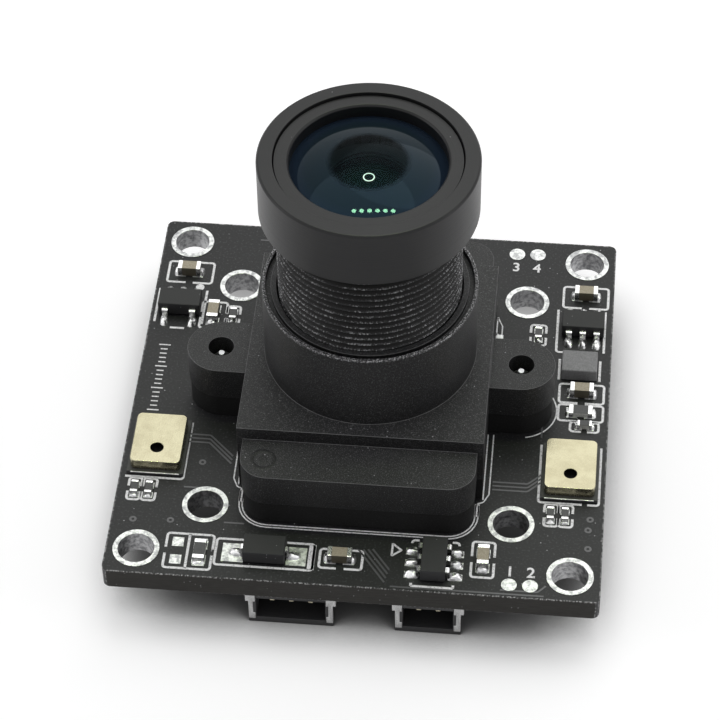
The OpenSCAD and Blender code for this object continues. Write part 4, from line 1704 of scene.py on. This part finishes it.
class ChipsOperator(bpy.types.Operator):
    """Rounds the chips' bodies and bends their leads"""

    bl_idname = "module.chips"
    bl_label = "Chips"

    def execute(self, context):
        width = settings().holder.chip_radius / MM
        for name in LEADED_CHIPS:
            softened_copy(name, "chip_mould", width)
            self.bend_leads(name)
        softened_copy("controller_chip", "chip_mould", 0.03)
        softened_copy("crystal", "can_metal", 0.05)
        softened_copy("power_inductor", "ferrite", 0.09, steps=3)
        return {"FINISHED"}

    def bend_leads(self, name):
        """Makes a chip's bent leads, each with its solder."""
        low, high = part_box(name)
        body = (low + high) / 2
        hangs = body.z < 0
        up = Vector((0, 0, -1 if hangs else 1))
        ground = BOARD_LOW.z if hangs else BOARD_TOP
        lead_width, thick = 0.4 * MM, 0.15 * MM
        leads, joints = bmesh.new(), bmesh.new()
        for k, (low, high) in enumerate(islands(f"{name}_leads")):
            middle = (low + high) / 2
            size = high - low
            along = 0 if abs(size.x - lead_width) > abs(size.y - lead_width) else 1
            out, across = Vector((0, 0, 0)), Vector((0, 0, 0))
            out[along] = 1 if middle[along] > body[along] else -1
            across[1 - along] = 1
            inner = middle - out * size[along] / 2
            base = Vector((inner.x, inner.y, ground))
            raised, resting = up * (size.z - thick / 2), up * (thick / 2)
            shoulder = out * size[along] * 0.36
            path = [
                base + raised - out * 0.05 * MM,
                base + raised + shoulder,
                base + resting + shoulder,
                base + resting + out * size[along],
            ]
            add_strip(leads, round_path(path, 0.09 * MM), lead_width, thick, across)
            toe = base + out * (size[along] - 0.02 * MM)
            mound = [0.62 * MM, 0.62 * MM]
            mound[along] = 1.0 * MM
            add_mound(joints, toe, mound, 0.36 * MM, k + len(name), down=hangs)
        place_piece(
            f"{name}_bent_leads", leads, BOARD_BODY, ["end_metal"], [f"{name}_leads"]
        )
        place_piece(f"{name}_solder", joints, BOARD_BODY, ["solder"])


class PassivesOperator(bpy.types.Operator):
    """Makes the chip capacitors and resistors with their plated ends and solder"""

    bl_idname = "module.passives"
    bl_label = "Capacitors and Resistors"

    def execute(self, context):
        joints = bmesh.new()
        for node in CAPACITORS + RESISTORS:
            glazed = node in RESISTORS
            shell = bmesh.new()
            for k, (low, high) in enumerate(islands(node)):
                self.build(shell, low, high, glazed)
                self.solder_ends(joints, low, high, k + len(node))
            body = "resistor_base" if glazed else "capacitor_body"
            finishes = [body, "end_metal", "resistor_glaze"]
            place_piece(f"{node}_made", shell, BOARD_BODY, finishes, [node])
        place_piece("passive_solder", joints, BOARD_BODY, ["solder"])
        return {"FINISHED"}

    def build(self, shell, low, high, glazed):
        """One part: its body, its two ends and a resistor's glaze."""
        size, middle, along, hangs = lie_of(low, high)
        skin = 0.02 * MM
        core = [part - 2 * skin for part in size]
        add_box(shell, (middle.x, middle.y, low.z + skin), core, 0.035 * MM)
        end = size.copy()
        end[along] *= 0.2
        for side in (-1, 1):
            place = Vector((middle.x, middle.y, low.z))
            place[along] += side * (size[along] - end[along]) / 2
            add_box(shell, place, end, 0.05 * MM, material=1)
        if glazed:
            glaze = [size.x * 0.92, size.y * 0.92, 0.03 * MM]
            glaze[along] = size[along] * 0.6
            z = low.z - 0.005 * MM if hangs else high.z - 0.025 * MM
            add_box(shell, (middle.x, middle.y, z), glaze, 0.01 * MM, material=2)

    def solder_ends(self, joints, low, high, seed):
        """The solder under both ends of one part."""
        size, middle, along, hangs = lie_of(low, high)
        spread = [size.x * 1.02, size.y * 1.02]
        spread[along] = min(0.5 * MM, size[along] * 0.36)
        for side in (-1, 1):
            place = [middle.x, middle.y, BOARD_LOW.z if hangs else BOARD_TOP]
            place[along] += side * (size[along] / 2 + 0.02 * MM)
            add_mound(joints, place, spread, size.z * 0.45, seed + side, down=hangs)


# ---------------------------------------------------------------- stage


WHITE = (1, 1, 1, 1)
SPOT_COUNT = 6
SPOT_SPACING = 0.0233
SPOT_MIDDLE = 0.0088


class StageOperator(bpy.types.Operator):
    """Sets the camera, the lamps, the floor and the sky"""

    bl_idname = "module.stage"
    bl_label = "Stage"

    def execute(self, context):
        scene = context.scene
        scene.view_settings.view_transform = "Standard"
        self.set_camera(scene)
        stage = settings().stage
        self.add_lamp(scene, "key_lamp", (-0.03, 0.05, 0.32), 0.34, stage.key)
        self.add_lamp(scene, "back_lamp", (0.06, 0.22, 0.3), 0.35, stage.back)
        self.add_lamp(scene, "left_lamp", (-0.3, -0.05, 0.1), 0.14, stage.side)
        self.add_lamp(scene, "right_lamp", (0.3, -0.02, 0.1), 0.14, stage.side)
        for k in range(SPOT_COUNT):
            x = SPOT_MIDDLE + SPOT_SPACING * (k - (SPOT_COUNT - 1) / 2)
            place = (x, 0.0385 + 0.1 * x + x * x, 0.33)
            spot = self.add_lamp(scene, f"spot_lamp_{k}", place, 0.0135, stage.spot)
            spot.data.color = (0.75, 1, 0.45)
            spot.visible_diffuse = False
            spot.visible_transmission = False
        self.set_sky(scene, stage.sky)
        self.lay_floor(scene, self.floor_white(stage.floor_glow, stage.under_glow))
        return {"FINISHED"}

    def set_camera(self, scene):
        data = bpy.data.cameras.new("camera")
        data.lens = 144.77
        data.sensor_width = 36
        data.clip_start = 0.01
        data.clip_end = 10
        camera = bpy.data.objects.new("camera", data)
        scene.collection.objects.link(camera)
        forward = Vector((-0.06989, 0.67404, -0.73538)).normalized()
        up = Vector((-0.06092, 0.73292, 0.67758)).normalized()
        right = forward.cross(up).normalized()
        up = right.cross(forward)
        turn = Matrix((right, up, -forward)).transposed().to_4x4()
        camera.matrix_world = Matrix.Translation((0.012727, -0.129769, 0.147146)) @ turn
        scene.camera = camera

    def add_lamp(self, scene, name, place, size, power):
        """A round lamp that points at the module."""
        data = bpy.data.lights.new(name, "AREA")
        data.shape = "DISK"
        data.size = size
        data.energy = power
        lamp = bpy.data.objects.new(name, data)
        scene.collection.objects.link(lamp)
        aim = Vector((0, 0, 0.008)) - Vector(place)
        turn = aim.to_track_quat("-Z", "Y").to_matrix().to_4x4()
        lamp.matrix_world = Matrix.Translation(place) @ turn
        return lamp

    def seen(self, graph):
        """1 for a ray that shows the background: from the camera, a reflection or through glass."""
        path = graph.outputs("ShaderNodeLightPath")
        shown = graph.math("MAXIMUM", path["Is Camera Ray"], path["Is Glossy Ray"])
        return graph.math("MAXIMUM", shown, path["Is Transmission Ray"])

    def set_sky(self, scene, level):
        world = bpy.data.worlds.new("sky")
        world.use_nodes = True
        world.node_tree.nodes.clear()
        graph = Graph(world.node_tree)
        strength = level + (1 - level) * self.seen(graph)
        sky = graph.add("ShaderNodeBackground", None, {"Color": WHITE, "Strength": strength})
        graph.add("ShaderNodeOutputWorld", None, {"Surface": sky})
        scene.world = world

    def floor_white(self, glow, under):
        """White paper that glows in the open and a little under the board, clear from below; near
        the module occlusion cuts its glow and darkens it, a painted shadow.
        """
        s = Surface("floor_white")
        open_sky = s.add(
            "ShaderNodeAmbientOcclusion", {"samples": 16}, {"Distance": 0.009}, output="AO"
        )
        open_sky = s.step(open_sky, 0.25, 0.85)
        covered = s.step(s.y, -0.009, 0.012) * s.step(s.y, 0.0165, 0.0125)
        covered = covered * s.step(abs(s.x), 0.0155, 0.012)
        far = s.step(s.radius(), 0.06, 0.3)
        # Painted shadow: the glow is cut where the floor is occluded.
        strength = self.seen(s) * open_sky * (far * 0.7 + glow) + covered * under
        shine = s.add("ShaderNodeEmission", None, {"Color": WHITE, "Strength": strength})
        # Painted shadow: the paper darkens where it is occluded.
        paper = s.blend(open_sky, (0.2, 0.2, 0.2), (0.93, 0.93, 0.93))
        matte = s.add("ShaderNodeBsdfDiffuse", None, {"Color": paper})
        both = s.add("ShaderNodeAddShader", None, {0: shine, 1: matte})
        clear = s.add("ShaderNodeBsdfTransparent")
        below = s.add("ShaderNodeNewGeometry", output="Backfacing")
        return s.close(s.add("ShaderNodeMixShader", None, {0: below, 1: both, 2: clear}))

    def lay_floor(self, scene, material):
        """A wide floor just under the headers."""
        z = min(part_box(f"{name}_housing")[0].z for name in HEADERS) - 0.02 * MM
        reach = 1.5
        corners = [(-reach, -reach, z), (reach, -reach, z), (reach, reach, z), (-reach, reach, z)]
        mesh = bpy.data.meshes.new("floor")
        mesh.from_pydata(corners, [], [(0, 1, 2, 3)])
        mesh.materials.append(material)
        floor = bpy.data.objects.new("floor", mesh)
        scene.collection.objects.link(floor)


# ---------------------------------------------------------------- running it


OPERATORS = (
    BoardOperator,
    PlatingsOperator,
    LegendOperator,
    TracksOperator,
    LandsOperator,
    HolderOperator,
    ScrewsOperator,
    BarrelOperator,
    RingOperator,
    GlassOperator,
    SensorOperator,
    MicrophonesOperator,
    HeadersOperator,
    ChipsOperator,
    PassivesOperator,
    StageOperator,
)


class ModulePanel(bpy.types.Panel):
    """Lists the pieces in the 3D view's sidebar"""

    bl_idname = "VIEW3D_PT_camera_module"
    bl_label = "Board Camera Module"
    bl_space_type = "VIEW_3D"
    bl_region_type = "UI"
    bl_category = "Camera Module"

    def draw(self, context):
        layout = self.layout
        chosen = context.scene.camera_module
        for label, group in (
            ("Board", chosen.board),
            ("Moulded Parts", chosen.holder),
            ("Lens", chosen.lens),
            ("Stage", chosen.stage),
        ):
            box = layout.box()
            box.label(text=label)
            for name in group.__annotations__:
                box.prop(group, name)
        for operator in OPERATORS:
            layout.operator(operator.bl_idname)


CLASSES = (
    BoardSettings,
    HolderSettings,
    LensSettings,
    StageSettings,
    ModuleSettings,
    *OPERATORS,
    ModulePanel,
)


def register():
    for item in CLASSES:
        bpy.utils.register_class(item)
    bpy.types.Scene.camera_module = bpy.props.PointerProperty(type=ModuleSettings)


def unregister():
    del bpy.types.Scene.camera_module
    for item in reversed(CLASSES):
        bpy.utils.unregister_class(item)


def visual_box():
    """The lowest and highest corners of everything that shows, apart from the stage."""
    low, high = [1e9] * 3, [-1e9] * 3
    for piece in bpy.data.objects:
        if piece.type != "MESH" or piece.hide_render or piece.name == "floor":
            continue
        for vert in piece.data.vertices:
            for k in range(3):
                low[k] = min(low[k], vert.co[k])
                high[k] = max(high[k], vert.co[k])
    return low, high


def main():
    register()
    for operator in OPERATORS:
        group, name = operator.bl_idname.split(".")
        getattr(getattr(bpy.ops, group), name)()
    low, high = CAD_BOX
    sizes = {"cad": [list(low), list(high)], "visual": [list(v) for v in visual_box()]}


if __name__ == "__main__":
    main()
